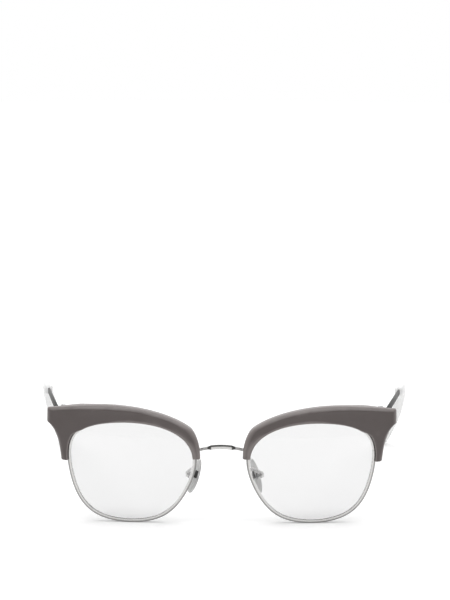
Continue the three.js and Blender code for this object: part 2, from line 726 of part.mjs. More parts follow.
function bridge() {
  const station = stationAt(BRIDGE_LEVEL, ...NOSE_SIDE);
  const { point } = outline(station, RIM_OUTER + SEAT_GAP + BRIDGE_TUCK);
  const behindBrow = FRONT_FACE + NOSE_END_THICKNESS + SEAT_GAP * 2;
  const end = onFrame(point.x, point.y, behindBrow + BRIDGE_WIRE_RADIUS);
  const browSide = onFrame(-HALF_WIDTH - NOSE_COVER, BRIDGE_LEVEL, 0).x - SEAT_GAP;
  const half = BRIDGE_BAR_LENGTH / 2;
  const shoulders = [0, 1 / 3, 2 / 3, 1].map((share) => half + BRIDGE_SHOULDER * share);
  const wire = (half + BRIDGE_SHOULDER + browSide) / 2;
  const distances = [half / 2, ...shoulders, wire, browSide, end.x];
  const places = [...distances.slice().reverse().map((d) => -d), 0, ...distances];
  const rings = places.map((x) => {
    const { height, depth } = bridgeSize(Math.abs(x));
    const fall = Math.min(1, (x / browSide) ** 2);
    const ring = [];
    for (let i = 0; i < WIRE_SIDES; i += 1) {
      const angle = ((i + 0.5) / WIRE_SIDES) * 2 * Math.PI;
      const y = end.y - BRIDGE_BOW * (1 - fall) + depth * Math.cos(angle);
      const z = end.z + BRIDGE_RISE * (1 - fall) + height * Math.sin(angle);
      ring.push(new THREE.Vector3(x, y, z));
    }
    return ring;
  });
  const flat = rings[0].map((point3) => [point3.y, point3.z]);
  return loft(rings, false, flat);
}

// Nose pads: local x points away from the nose, y runs back along the rocking axis, z is up the pad

const BOX_HALF_WIDTH = PAD_LUG_WIDTH / 2 + SEAT_GAP + BOX_CHEEK;
const BOX_SLOT = PAD_LUG_TIP + SEAT_GAP;
const BOX_END = BOX_SLOT + BOX_BACK;

// Place and turn of the pad's rocking axis for the +X side, moved sideways by the pad's own setting.
function padFrame(shift) {
  const frame = new THREE.Object3D();
  frame.rotation.set(0, -PAD_TILT, -PAD_SPLAY, 'ZYX');
  frame.updateMatrix();
  const outwards = new THREE.Vector3(PAD_AXIS_OFFSET + PAD_THICKNESS / 2, 0, 0).applyEuler(frame.rotation);
  frame.position.set(PAD_SPACING / 2 + shift, PAD_SETBACK, LENS_CENTRE_Z + PAD_LEVEL).add(outwards);
  frame.updateMatrix();
  return frame;
}

function nosePad() {
  const rings = PAD_EDGE.map(([share, deep]) => {
    const ring = [];
    for (let i = 0; i < PAD_STEPS; i += 1) {
      const angle = (i / PAD_STEPS) * 2 * Math.PI;
      const wide = (Math.cos(angle) * PAD_WIDTH * share) / 2;
      const high = (Math.sin(angle) * PAD_HEIGHT * share) / 2;
      ring.push(new THREE.Vector3(-PAD_AXIS_OFFSET - PAD_THICKNESS * deep, wide, high));
    }
    return ring;
  });
  const back = new THREE.Vector3(-PAD_AXIS_OFFSET, 0, 0);
  const face = new THREE.Vector3(-PAD_AXIS_OFFSET - PAD_THICKNESS, 0, 0);
  const half = PAD_LUG_WIDTH / 2;
  const root = -PAD_AXIS_OFFSET - PAD_THICKNESS / 2;
  const lug = block(root, PAD_LUG_TIP, -half, half, -PAD_LUG_HALF_HEIGHT, PAD_LUG_HALF_HEIGHT);
  const hole = padRod(PAD_LUG_WIDTH, PAD_SCREW_RADIUS + RUNNING_GAP);
  return combine([domedLoft(back, rings, face), lug], [hole]);
}

// Rod along the rocking axis, to a distance each way.
function padRod(reach, radius) {
  return rod(new THREE.Vector3(0, -reach, 0), new THREE.Vector3(0, reach, 0), radius, SCREW_SIDES);
}

function padBox() {
  const half = BOX_HEIGHT / 2;
  const slotHalf = PAD_LUG_WIDTH / 2 + SEAT_GAP;
  const body = block(-BOX_FRONT, BOX_END, -BOX_HALF_WIDTH, BOX_HALF_WIDTH, -half, half);
  const slot = block(-BOX_FRONT * 2, BOX_SLOT, -slotHalf, slotHalf, -BOX_HEIGHT, BOX_HEIGHT);
  const hole = padRod(BOX_HALF_WIDTH * 2, PAD_SCREW_RADIUS + RUNNING_GAP);
  return combine([body], [slot, hole]);
}

function padScrew() {
  const head = new THREE.Vector3(0, -BOX_HALF_WIDTH - SEAT_GAP - PAD_HEAD_HEIGHT, 0);
  const end = new THREE.Vector3(0, BOX_HALF_WIDTH, 0);
  return screw(head, end, PAD_SCREW_RADIUS, PAD_HEAD_RADIUS, PAD_HEAD_HEIGHT);
}

// Wire from the back of the eyewire, out behind the lens and round to the pad box.
function padArm(shift) {
  const frame = padFrame(shift);
  const station = stationAt(ARM_LEVEL, ...NOSE_SIDE);
  const { point } = outline(station, 0);
  const root = onFrame(point.x, point.y, RIM_DEPTH / 2 + SEAT_GAP);
  const end = new THREE.Vector3(BOX_END + SEAT_GAP, 0, 0).applyMatrix4(frame.matrix);
  const lead = new THREE.Vector3(BOX_END + SEAT_GAP + ARM_BULGE, 0, 0).applyMatrix4(frame.matrix);
  const leave = root.clone().add(new THREE.Vector3(0, ARM_BULGE, 0));
  const path = new THREE.CubicBezierCurve3(root, leave, lead, end);
  const section = new THREE.Shape().absarc(0, 0, ARM_RADIUS, 0, 2 * Math.PI);
  return new THREE.ExtrudeGeometry(section, {
    steps: ARM_STEPS, curveSegments: WIRE_SIDES / 2, bevelEnabled: false, extrudePath: path,
  });
}

// Hinge: local axes of the whole frame, with the origin on the hinge axis at the middle of the lug

const KNUCKLE_NEAR = KNUCKLE_HEIGHT / 2 + RUNNING_GAP;
const KNUCKLE_FAR = PLATE_HEIGHT / 2;
const TEMPLE_INNER = KNUCKLE_RADIUS + RUNNING_GAP * 2;
const PLATE_BACK = -HINGE_REACH;

function hingeLeaf() {
  const plateEnd = TEMPLE_INNER - SEAT_GAP * 2;
  const plateStart = plateEnd - PLATE_LENGTH;
  const half = PLATE_HEIGHT / 2;
  const joined = [block(plateStart, plateEnd, PLATE_BACK - PLATE_THICKNESS, PLATE_BACK, -half, half)];
  for (const side of [-1, 1]) {
    const near = new THREE.Vector3(0, 0, side * KNUCKLE_NEAR);
    const far = new THREE.Vector3(0, 0, side * KNUCKLE_FAR);
    const low = Math.min(near.z, far.z);
    const high = Math.max(near.z, far.z);
    joined.push(rod(near, far, KNUCKLE_RADIUS, BARREL_SIDES));
    const webStart = -KNUCKLE_RADIUS * WEB_SHARE;
    joined.push(block(webStart, plateEnd, PLATE_BACK - PLATE_THICKNESS / 2, 0, low, high));
  }
  const hole = rod(
    new THREE.Vector3(0, 0, -PLATE_HEIGHT), new THREE.Vector3(0, 0, PLATE_HEIGHT),
    HINGE_SCREW_RADIUS + RUNNING_GAP, SCREW_SIDES,
  );
  const screwHoles = plateScrewAxes().map(({ head, end }) => (
    rod(head, end, PLATE_SCREW_RADIUS + SEAT_GAP, SCREW_SIDES)
  ));
  return combine(joined, [hole, ...screwHoles]);
}

// Ends of the two screws that hold the hinge plate to the lug.
function plateScrewAxes() {
  const plateStart = TEMPLE_INNER - SEAT_GAP * 2 - PLATE_LENGTH;
  return [0.5, 1.5].map((pitches) => {
    const x = plateStart + PLATE_SCREW_PITCH * pitches;
    return {
      head: new THREE.Vector3(x, PLATE_BACK + SEAT_GAP + PLATE_HEAD_HEIGHT, 0),
      end: new THREE.Vector3(x, PLATE_BACK - PLATE_THICKNESS - SEAT_GAP - PLATE_SCREW_DEPTH, 0),
    };
  });
}

function plateScrew({ head, end }) {
  return screw(head, end, PLATE_SCREW_RADIUS, PLATE_HEAD_RADIUS, PLATE_HEAD_HEIGHT);
}

function hingeScrew() {
  const head = new THREE.Vector3(0, 0, KNUCKLE_FAR + SEAT_GAP + HINGE_HEAD_HEIGHT);
  const end = new THREE.Vector3(0, 0, -KNUCKLE_FAR);
  return screw(head, end, HINGE_SCREW_RADIUS, HINGE_HEAD_RADIUS, HINGE_HEAD_HEIGHT);
}

// Temple: origin on the hinge axis, y along the temple, before it is turned out by the splay

const TIP_START = BEND_START - TIP_OVERLAP;
const BEND_LENGTH = BEND_RADIUS * BEND_ANGLE;
const TIP_RADIUS = TIP_END_HEIGHT / 2;
const STEEP = TEMPLE_SLOPE + BEND_ANGLE;

// Height lost along the straight and the bend; the leg then reaches the table with its round end.
const STRAIGHT_DROP = BEND_START * Math.sin(TEMPLE_SLOPE);
const BEND_DROP = BEND_RADIUS * (Math.cos(TEMPLE_SLOPE) - Math.cos(STEEP));
const LEG_LENGTH = (HINGE_Z - TIP_RADIUS - STRAIGHT_DROP - BEND_DROP) / Math.sin(STEEP);
const TIP_END = BEND_START + BEND_LENGTH + LEG_LENGTH;

// Centre line of the temple at a length from the hinge, with its downward direction angle.
function templeLine(length) {
  const straight = Math.min(length, BEND_START);
  const turn = THREE.MathUtils.clamp((length - BEND_START) / BEND_RADIUS, 0, BEND_ANGLE);
  const leg = Math.max(0, length - BEND_START - BEND_LENGTH);
  const angle = TEMPLE_SLOPE + turn;
  const y = straight * Math.cos(TEMPLE_SLOPE)
    + BEND_RADIUS * (Math.sin(angle) - Math.sin(TEMPLE_SLOPE)) + leg * Math.cos(STEEP);
  const z = -straight * Math.sin(TEMPLE_SLOPE)
    - BEND_RADIUS * (Math.cos(TEMPLE_SLOPE) - Math.cos(angle)) - leg * Math.sin(STEEP);
  const share = Math.max(0, (length - BEND_START) / (TIP_END - BEND_START));
  const x = TEMPLE_INNER + TEMPLE_THICKNESS / 2 - TIP_INWARD * share ** TIP_INWARD_POWER;
  return { centre: new THREE.Vector3(x, y, z), angle };
}

// Ring across the temple at a length: flat [sideways, up] points set square to the centre line.
function templeRing(length, flat) {
  const { centre, angle } = templeLine(length);
  return flat.map(([sideways, up]) => new THREE.Vector3(
    centre.x + sideways, centre.y + up * Math.sin(angle), centre.z + up * Math.cos(angle),
  ));
}

// Rectangle with cut corners.
function cutRectangle(width, height, cut) {
  const [w, h] = [width / 2, height / 2];
  return [
    [w, cut - h], [w, h - cut], [w - cut, h], [cut - w, h],
    [-w, h - cut], [-w, cut - h], [cut - w, -h], [w - cut, -h],
  ];
}

// Strip with a thinner core at its end, grown by a clearance where the tip is bored for it.
function coreRings(clearance) {
  const flat = cutRectangle(CORE_THICKNESS + clearance * 2, CORE_HEIGHT + clearance * 2, TEMPLE_CHAMFER);
  const start = TIP_START - clearance * 2;
  const rings = [];
  for (let i = 0; i <= CORE_STEPS; i += 1) {
    rings.push(templeRing(start + ((CORE_LENGTH + clearance * 3) * i) / CORE_STEPS, flat));
  }
  return { rings, flat };
}

function temple() {
  const lean = (TEMPLE_INNER + TEMPLE_THICKNESS) * Math.sin(TEMPLE_SPLAY);
  const butt = PLATE_BACK - PLATE_THICKNESS + lean + (TEMPLE_HEIGHT / 2) * Math.sin(TEMPLE_SLOPE);
  const stripEnd = TIP_START - SEAT_GAP;
  const rings = [butt, KNUCKLE_RADIUS * 4, stripEnd / 2, stripEnd].map((length) => {
    const share = Math.max(0, length) / stripEnd;
    const height = TEMPLE_HEIGHT + (TEMPLE_END_HEIGHT - TEMPLE_HEIGHT) * share;
    return templeRing(length, cutRectangle(TEMPLE_THICKNESS, height, TEMPLE_CHAMFER));
  });
  const strip = loft(rings, false, cutRectangle(TEMPLE_THICKNESS, TEMPLE_HEIGHT, TEMPLE_CHAMFER));
  const core = coreRings(0);
  const stub = [templeRing(stripEnd - CORE_ROOT, core.flat), ...core.rings];
  const half = KNUCKLE_HEIGHT / 2;
  const low = new THREE.Vector3(0, 0, -half);
  const high = new THREE.Vector3(0, 0, half);
  const barrel = rod(low, high, KNUCKLE_RADIUS, BARREL_SIDES);
  const arm = block(0, TEMPLE_INNER + TEMPLE_THICKNESS / 2, -KNUCKLE_RADIUS, KNUCKLE_RADIUS, -half, half);
  const bore = HINGE_SCREW_RADIUS + RUNNING_GAP;
  const hole = rod(low.multiplyScalar(2), high.multiplyScalar(2), bore, SCREW_SIDES);
  return combine([strip, loft(stub, false, core.flat), barrel, arm], [hole]);
}

// Rounded outline of the tip's section in a box of the given size.
function tipOutline(width, height) {
  const flat = [];
  for (let i = 0; i < TIP_SIDES; i += 1) {
    const angle = ((i + 0.5) / TIP_SIDES) * 2 * Math.PI;
    const [c, s] = [Math.cos(angle), Math.sin(angle)];
    const reach = (Math.abs(c) ** TIP_SQUARENESS + Math.abs(s) ** TIP_SQUARENESS) ** (-1 / TIP_SQUARENESS);
    flat.push([(c * reach * width) / 2, (s * reach * height) / 2]);
  }
  return flat;
}

// Ring of the tip at a length from the hinge, drawn in round its end.
function tipRing(length) {
  const share = THREE.MathUtils.smoothstep(length, TIP_START, TIP_END);
  const past = Math.max(0, length - TIP_END) / TIP_RADIUS;
  const close = Math.sqrt(Math.max(0, 1 - past * past));
  const width = TIP_THICKNESS + (TIP_END_THICKNESS - TIP_THICKNESS) * share;
  const height = TIP_HEIGHT + (TIP_END_HEIGHT - TIP_HEIGHT) * share;
  return templeRing(length, tipOutline(width * Math.max(close, TIP_END_SHARE), height * close));
}

function templeTip() {
  const lengths = [TIP_START, (TIP_START + BEND_START) / 2];
  for (let i = 0; i <= BEND_STEPS; i += 1) {
    lengths.push(BEND_START + (BEND_LENGTH * i) / BEND_STEPS);
  }
  for (const share of LEG_SHARES) {
    lengths.push(BEND_START + BEND_LENGTH + LEG_LENGTH * share);
  }
  for (const share of DOME_SHARES) {
    lengths.push(TIP_END + TIP_RADIUS * share);
  }
  const body = loft(lengths.map(tipRing), false, tipOutline(TIP_THICKNESS, TIP_HEIGHT));
  const bore = coreRings(SEAT_GAP);
  return combine([body], [loft(bore.rings, false, bore.flat)]);
}

// Assembly: one half is made for the wearer's left at +X and mirrored for the right

// Geometry mirrored to the other side of the nose, with its faces kept pointing out.
function mirrored(geometry) {
  const copy = geometry.clone();
  copy.scale(-1, 1, 1);
  if (copy.index) {
    copy.setIndex(Array.from(copy.index.array).reverse());
    return copy;
  }
  const merged = mergeVertices(copy);
  merged.setIndex(Array.from(merged.index.array).reverse());
  return merged;
}

const spectacles = new THREE.Group();

function addPiece(group, name, geometry, material, sign) {
  const bare = (sign < 0 ? mirrored(geometry) : geometry).clone();
  bare.deleteAttribute('normal');
  bare.deleteAttribute('uv');
  bare.computeVertexNormals();
  const mesh = new THREE.Mesh(bare, material);
  mesh.name = name;
  group.add(mesh);
}

function addHalf(name, sign) {
  const front = new THREE.Group();
  front.position.set(sign * LENS_CENTRE_X, 0, LENS_CENTRE_Z);
  front.rotation.z = sign * WRAP_ANGLE;
  addPiece(front, `eyewire_${name}`, eyewire(), SILVER, sign);
  addPiece(front, `rim_lock_screw_${name}`, lockScrew(), SILVER, sign);
  addPiece(front, `lens_${name}`, lens(), CLEAR_LENS, sign);
  addPiece(front, `brow_${name}`, brow(), ACETATE_GREY, sign);
  EAR_STATIONS.forEach((t, i) => {
    addPiece(front, `brow_screw_${i + 1}_${name}`, browScrew(t), SILVER, sign);
  });

  const hinge = new THREE.Group();
  hinge.position.set(sign * HINGE_X, HINGE_Y, HINGE_Z);
  addPiece(hinge, `hinge_leaf_${name}`, hingeLeaf(), SILVER, sign);
  plateScrewAxes().forEach((axis, i) => {
    addPiece(hinge, `hinge_plate_screw_${i + 1}_${name}`, plateScrew(axis), SILVER, sign);
  });
  addPiece(hinge, `hinge_screw_${name}`, hingeScrew(), SILVER, sign);

  const arm = new THREE.Group();
  arm.rotation.z = -sign * TEMPLE_SPLAY;
  addPiece(arm, `temple_${name}`, temple(), SILVER, sign);
  addPiece(arm, `temple_tip_${name}`, templeTip(), ACETATE_PALE, sign);
  hinge.add(arm);

  const shift = sign * PAD_SHIFT;
  const pad = new THREE.Group();
  const place = padFrame(shift);
  pad.position.set(sign * place.position.x, place.position.y, place.position.z);
  pad.rotation.set(0, -sign * PAD_TILT, -sign * PAD_SPLAY, 'ZYX');
  addPiece(pad, `nose_pad_${name}`, nosePad(), SATIN_SILVER, sign);
  addPiece(pad, `pad_box_${name}`, padBox(), SILVER, sign);
  addPiece(pad, `pad_screw_${name}`, padScrew(), SILVER, sign);

  const wires = new THREE.Group();
  addPiece(wires, `pad_arm_${name}`, padArm(shift), SILVER, sign);
  spectacles.add(front, hinge, pad, wires);
}

addHalf('left', 1);
addHalf('right', -1);
addPiece(spectacles, 'bridge', bridge(), SILVER, 1);

// The origin is the middle of the footprint, on the table.
const bounds = new THREE.Box3().setFromObject(spectacles, true);
spectacles.position.set(0, -(bounds.min.y + bounds.max.y) / 2, -bounds.min.z);

export default spectacles;
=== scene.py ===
"""Browline spectacles standing open on a pale table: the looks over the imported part.

Objects are in metres, in the part's frame. Every piece is a surface of rings: a closed section
carried along a path, worked out as whole arrays. Sizes are in millimetres, as in the part's source,
and the left half (+X) is mirrored for the right half.
"""

import math

import bpy
import numpy as np
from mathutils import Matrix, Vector


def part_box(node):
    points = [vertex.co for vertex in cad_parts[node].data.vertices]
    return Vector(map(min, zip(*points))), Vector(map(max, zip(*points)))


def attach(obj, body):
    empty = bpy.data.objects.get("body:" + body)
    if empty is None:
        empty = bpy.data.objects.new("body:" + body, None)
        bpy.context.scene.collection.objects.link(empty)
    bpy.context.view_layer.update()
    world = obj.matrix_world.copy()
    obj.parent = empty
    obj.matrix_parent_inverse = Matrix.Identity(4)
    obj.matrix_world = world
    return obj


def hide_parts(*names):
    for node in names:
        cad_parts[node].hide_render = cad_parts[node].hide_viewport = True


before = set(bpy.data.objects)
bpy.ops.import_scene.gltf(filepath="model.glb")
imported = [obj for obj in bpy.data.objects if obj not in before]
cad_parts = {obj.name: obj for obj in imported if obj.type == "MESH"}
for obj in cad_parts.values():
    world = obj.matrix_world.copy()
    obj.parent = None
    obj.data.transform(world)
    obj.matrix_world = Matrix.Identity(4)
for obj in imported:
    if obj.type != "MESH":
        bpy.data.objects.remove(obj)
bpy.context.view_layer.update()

MM = 0.001
SIDES = (("left", 1), ("right", -1))
SHARP_ANGLE = math.radians(38)

# Lens, eyewire and the bowl they lie on
LENS_WIDTH, LENS_HEIGHT, LENS_THICKNESS = 49.5, 40.2, 1.8
BRIDGE_GAP, BASE_RADIUS, WRAP = 21.4, 130.0, math.radians(4)
LENS_CORNERS = np.array([
    [-1.13, 0.37], [-0.6, 0.95], [0.24, 1.05], [1.07, 0.84],
    [1.01, -0.12], [0.71, -0.97], [-0.27, -1.05], [-0.74, -0.71],
])
RIM_DEPTH, RIM_WALL, RIM_ROUND, RIM_LIP, RIM_CROWN = 2.2, 0.5, 0.3, 0.12, 0.05
BEVEL_HEIGHT, BEVEL_HALF_WIDTH, LENS_CLEARANCE = 0.5, 0.55, 0.3
LOCK_LEVEL, LOCK_GAP, LOCK_REACH, LOCK_DEPTH, LOCK_HEIGHT = 8.0, 0.5, 2.6, 2.4, 2.2
LOCK_CORNER, SPLIT_LINE = 0.3, 0.1
EAR_WIDTH, EAR_THICKNESS, EAR_HEIGHT, EAR_CORNER, EAR_HOLE_SHARE = 2.6, 0.7, 2.6, 0.2, 0.55

# Brow
BROW_LIP, BROW_DEPTH, BROW_EDGE, BROW_COVER = 1.0, 2.4, 0.3, 0.1
BROW_CROWN, BROW_LOWER, BROW_LOWER_DEPTH = 2.6, 1.2, 0.6
NOSE_COVER, NOSE_END_LEVEL, NOSE_END_THICKNESS = 2.3, 5.2, 1.8
NOSE_SHOULDER_INSET, NOSE_SHOULDER_DROP = 1.7, 3.2
BROW_RISE, BROW_PEAK_OUT = 5.6, 10.3
LUG_REACH, LUG_RISE, LUG_HEIGHT, LUG_DEPTH, LUG_CORNER = 9.35, 3.8, 5.4, 5.2, 1.0
TAB_REACH, TAB_LEVEL, TAB_THICKNESS, TAB_CORNER = 3.3, 3.8, 2.0, 0.7
SEAT_INSET, SEAT_DEPTH, SEAT_RAMP = 2.0, 3.4, 2.0

# Bridge and nose pads
BRIDGE_LEVEL, BRIDGE_WIRE = 8.2, 0.6
BAR_LENGTH, BAR_HEIGHT, BAR_DEPTH = 8.0, 1.8, 1.5
BRIDGE_SHOULDER, BRIDGE_RISE, BRIDGE_BOW, BRIDGE_TUCK = 1.4, 1.3, 1.2, 0.2
PAD_SIZE, PAD_SQUARENESS = (7.4, 14.4, 1.4), 3.2
PAD_SPACING, PAD_SHIFT, PAD_LEVEL, PAD_SETBACK = 24.2, 1.3, -3.7, 8.4
PAD_SPLAY, PAD_TILT, PAD_AXIS_OFFSET = math.radians(25), math.radians(18), 1.3
PAD_LUG = (0.9, 0.8, 0.5)
CLIP_LOW, CLIP_HIGH = (-3.5, -0.6), (-1.6, 2.4)
CLIP_BACK, CLIP_THICKNESS, CLIP_CORNER = 0.25, 0.45, 0.12
BOX_CHEEK, BOX_FRONT, BOX_HEIGHT, BOX_BACK = 0.6, 0.9, 2.4, 0.45
ARM_RADIUS, ARM_LEVEL, ARM_BULGE = 0.45, 1.4, 1.6

# Hinge, temple and tip
HINGE_INSET, KNUCKLE_RADIUS, KNUCKLE_HEIGHT = 6.3, 1.2, 1.4
PLATE_LENGTH, PLATE_HEIGHT, PLATE_THICKNESS, PLATE_CORNER = 6.8, 4.4, 0.9, 0.12
PLATE_SCREW_PITCH, PLATE_SCREW_REACH, PLATE_SCREW_PLACES = 2.2, 2.2, (0.5, 1.5)
WEB_CORNER, WEB_INSET, WEB_SHARE = 0.1, 0.02, 0.9
TEMPLE_SPLAY, TEMPLE_SLOPE = math.radians(7.3), math.radians(5.8)
TEMPLE_THICKNESS, TEMPLE_HEIGHT, TEMPLE_END_HEIGHT, TEMPLE_CORNER = 0.9, 3.0, 2.3, 0.28
BEND_START, BEND_RADIUS, BEND_ANGLE = 88.0, 22.0, math.radians(38)
TIP_OVERLAP, TIP_SIZE, TIP_END_SIZE = 11.0, (4.0, 5.0), (4.8, 6.2)
TIP_INWARD, TIP_INWARD_POWER, TIP_SQUARENESS = 10.0, 1.8, 2.6
TIP_EASE, TIP_START_SHARE, TIP_LEAST_WIDTH = 3.5, 0.5, 0.3

# Screws: shank radius, head radius and head height
LOCK_SCREW, BROW_SCREW, PAD_SCREW = (0.6, 1.0, 0.6), (0.5, 0.9, 0.5), (0.4, 0.65, 0.35)
PLATE_SCREW, HINGE_SCREW, BROW_SCREW_REACH = (0.45, 0.8, 0.4), (0.6, 1.0, 0.5), 1.0

# Gaps, and the shares that end rings and poles are drawn in to
SEAT_GAP, RUNNING_GAP = 0.2, 0.15
END_SHARE, POLE_SHARE = 0.9, 0.03

# Stations round the lens outline, counted in its corners from the nose over the top
NOSE_SIDE, TEMPLE_SIDE, EAR_STATIONS = (-1.2, 1.0), (2.9, 4.2), (1.25, 2.0)
EDGE_STATIONS, TAB_TURN = (0.85, 2.05, 2.76, 2.8, 3.0), 0.03
NOSE_DEEPENING, BODY_FULL = 0.35, 0.95
LUG_DEEPENING, TAB_THINNING, RIM_CLEARING = (2.15, 2.7), (3.0, 3.25), (2.75, 3.1)

# Tones that the finishes read, 0 for dark and 1 for light, and the widths and stations they fade over;
# most are painted light and shade.
PLAIN_TONE, CLIP_TONE = 0.5, 0.4
# Eyewire tones are painted reflection and shade: a light inner face, dark outer edges and back.
RIM_FACE_PAINTED_TONES, RIM_EDGE_PAINTED_TONES, RIM_BACK_PAINTED_TONE, GROOVE_PAINTED_TONE = (0.95, 0.35), (0.3, 0.1), 0.3, 0.8
RIM_FACE_FADE = (-0.3, 0.9)
# Brow tones: painted light in the thin edge by the lens, and a painted highlight over the crown and top
# ridge.
THIN_WIDTH, THIN_NARROWING, THIN_FALL, THIN_STATIONS = 2.2, 1.4, 0.25, (1.0, 2.6)
CROWN_PAINTED_HIGHLIGHT, CROWN_BAND, RIDGE_PAINTED_HIGHLIGHT, RIDGE_BAND = 0.36, (2.4, 0.3), 0.5, (0.5, 0.05)
NOSE_CROWN_GAIN, CROWN_STATIONS = 0.6, (0.7, 1.6)
# Bridge tones: painted shade on the wire, painted reflection on the bar's upper side and in bands at
# its ends.
BAR_TONE, WIRE_TONE, BAR_FADE, BAR_PAINTED_TOP = 0.9, 0.4, 1.5, (0.1, 0.5)
PAINTED_BAND_START, PAINTED_BAND_END = (-0.1, 0.2), (1.3, 1.7)
PAD_LINE_START, PAD_LINE_END = (0.0, 0.2), (0.5, 0.75)

# Places that follow from the sizes
HALF_WIDTH, HALF_HEIGHT = LENS_WIDTH / 2, LENS_HEIGHT / 2
RIM_OUTER = LENS_CLEARANCE + RIM_WALL
SUNK = RIM_WALL * 0.7
CENTRE_X, CENTRE_Z = (BRIDGE_GAP + LENS_WIDTH) / 2, RIM_OUTER + HALF_HEIGHT
FRONT_FACE = -(RIM_DEPTH / 2 + SEAT_GAP + BROW_LIP)
LUG_END, LUG_TOP = HALF_WIDTH + LUG_REACH, HALF_HEIGHT + LUG_RISE
LUG_LEVEL = LUG_TOP - LUG_HEIGHT / 2
HINGE_REACH = KNUCKLE_RADIUS + RUNNING_GAP * 2
TEMPLE_INNER = KNUCKLE_RADIUS + RUNNING_GAP * 2
BOX_HALF = PAD_LUG[0] / 2 + SEAT_GAP + BOX_CHEEK
BOX_SLOT = PAD_LUG[2] + SEAT_GAP
BOX_END = BOX_SLOT + BOX_BACK
PLATE_BACK = -HINGE_REACH
PLATE_END = TEMPLE_INNER - SEAT_GAP * 2
KNUCKLE_NEAR, KNUCKLE_FAR = KNUCKLE_HEIGHT / 2 + RUNNING_GAP, PLATE_HEIGHT / 2


# Curves and places


def smooth(x, low, high):
    """0 below low, 1 above high, and 3s^2 - 2s^3 of the share s in between."""
    s = np.clip((x - low) / (high - low), 0, 1)
    return s * s * (3 - 2 * s)


def corner_spline(t):
    """Uniform cubic B-spline round the lens corners: place and direction at stations t."""
    t = np.asarray(t, float)
    start = np.floor(t).astype(int)
    f = t - start
    weights = np.stack([
        (1 - f) ** 3,
        3 * f**3 - 6 * f**2 + 4,
        -3 * f**3 + 3 * f**2 + 3 * f + 1,
        f**3,
    ], -1) / 6
    slopes = np.stack([
        -((1 - f) ** 2),
        3 * f**2 - 4 * f,
        -3 * f**2 + 2 * f + 1,
        f**2,
    ], -1) / 2
    corners = LENS_CORNERS[(start[..., None] + np.arange(-1, 3)) % len(LENS_CORNERS)]
    return (weights[..., None] * corners).sum(-2), (slopes[..., None] * corners).sum(-2)


SPLINE = corner_spline(np.linspace(0, len(LENS_CORNERS), 400, endpoint=False))[0]
SPLINE_CENTRE = (SPLINE.min(0) + SPLINE.max(0)) / 2
SPLINE_SCALE = np.array([LENS_WIDTH, LENS_HEIGHT]) / np.ptp(SPLINE, axis=0)


def outline(t, outwards=0.0):
    """Lens outline at stations t, with its normal: the spline stretched to the lens box and moved out
    along the normal."""
    place, direction = corner_spline(t)
    along = direction * SPLINE_SCALE
    along = along / np.linalg.norm(along, axis=-1, keepdims=True)
    normal = np.stack([-along[..., 1], along[..., 0]], -1)
    return (place - SPLINE_CENTRE) * SPLINE_SCALE + normal * np.asarray(outwards)[..., None], normal


def station_at(level, low, high):
    """Station between low and high where the outline passes a height, by linear interpolation in a
    fine table."""
    t = np.linspace(low, high, 4001)
    heights = outline(t)[0][:, 1]
    order = np.argsort(heights)
    return float(np.interp(level, heights[order], t[order]))


def sag(across, up):
    """Set-back of the front: a bowl of the base radius that runs on straight past the lens edge."""
    edge = HALF_WIDTH + RIM_OUTER
    flat = np.minimum(across, edge)
    return (flat**2 + 2 * edge * (across - flat) + up**2) / (2 * BASE_RADIUS)


def on_front(across, up, back):
    """Points at across and up, set back from the bowl, about the lens centre."""
    across, up, back = np.broadcast_arrays(across, up, back)
    return np.stack([across, sag(across, up) + back, up], -1)


def turned_z(points, angle):
    """Points turned about the z axis by an angle."""
    c, s = math.cos(angle), math.sin(angle)
    return points @ np.array([[c, s, 0], [-s, c, 0], [0, 0, 1]])


def turned_y(points, angle):
    """Points turned about the y axis by an angle."""
    c, s = math.cos(angle), math.sin(angle)
    return points @ np.array([[c, 0, -s], [0, 1, 0], [s, 0, c]])


def lens_place(points):
    """Points about the lens centre, turned by the wrap and moved to their place in the front."""
    return turned_z(points, WRAP) + np.array([CENTRE_X, 0, CENTRE_Z])


NOSE_STATION = station_at(NOSE_END_LEVEL, *NOSE_SIDE)
TAB_STATION = station_at(TAB_LEVEL, *TEMPLE_SIDE)
LOCK_STATION = station_at(LOCK_LEVEL, *TEMPLE_SIDE)
SEAT_Y = lens_place(on_front(HALF_WIDTH - SEAT_INSET, LUG_LEVEL, SEAT_DEPTH))[1]
HINGE = np.array([
    lens_place(on_front(LUG_END - HINGE_INSET, LUG_LEVEL, 0.0))[0],
    SEAT_Y + SEAT_GAP + PLATE_THICKNESS + HINGE_REACH,
    CENTRE_Z + LUG_LEVEL,
])
PIN_LOW, PIN_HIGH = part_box("hinge_screw_left")
FRONT_Y = (PIN_LOW.y + PIN_HIGH.y) / 2 / MM - HINGE[1]

STEEP = TEMPLE_SLOPE + BEND_ANGLE
BEND_LENGTH = BEND_RADIUS * BEND_ANGLE
BEND_DROP = BEND_RADIUS * (math.cos(TEMPLE_SLOPE) - math.cos(STEEP))
DROP = BEND_START * math.sin(TEMPLE_SLOPE) + BEND_DROP
TIP_START, TIP_RADIUS = BEND_START - TIP_OVERLAP, TIP_END_SIZE[1] / 2
LEG_LENGTH = (HINGE[2] - TIP_RADIUS - DROP) / math.sin(STEEP)
TIP_END = BEND_START + BEND_LENGTH + LEG_LENGTH


# Rings and solids


def rounded_rectangle(width, height, corner, steps=4):
    """Rectangle with round corners, as points: a quarter circle about each corner's centre."""
    angle = np.linspace(0, math.pi / 2, steps + 1)
    quarter = np.arange(4)[:, None] * math.pi / 2
    centres = np.array([[1, 1], [-1, 1], [-1, -1], [1, -1]])
    centres = centres * [width / 2 - corner, height / 2 - corner]
    arc = np.stack([np.cos(angle + quarter), np.sin(angle + quarter)], -1) * corner
    return (centres[:, None] + arc).reshape(-1, 2)


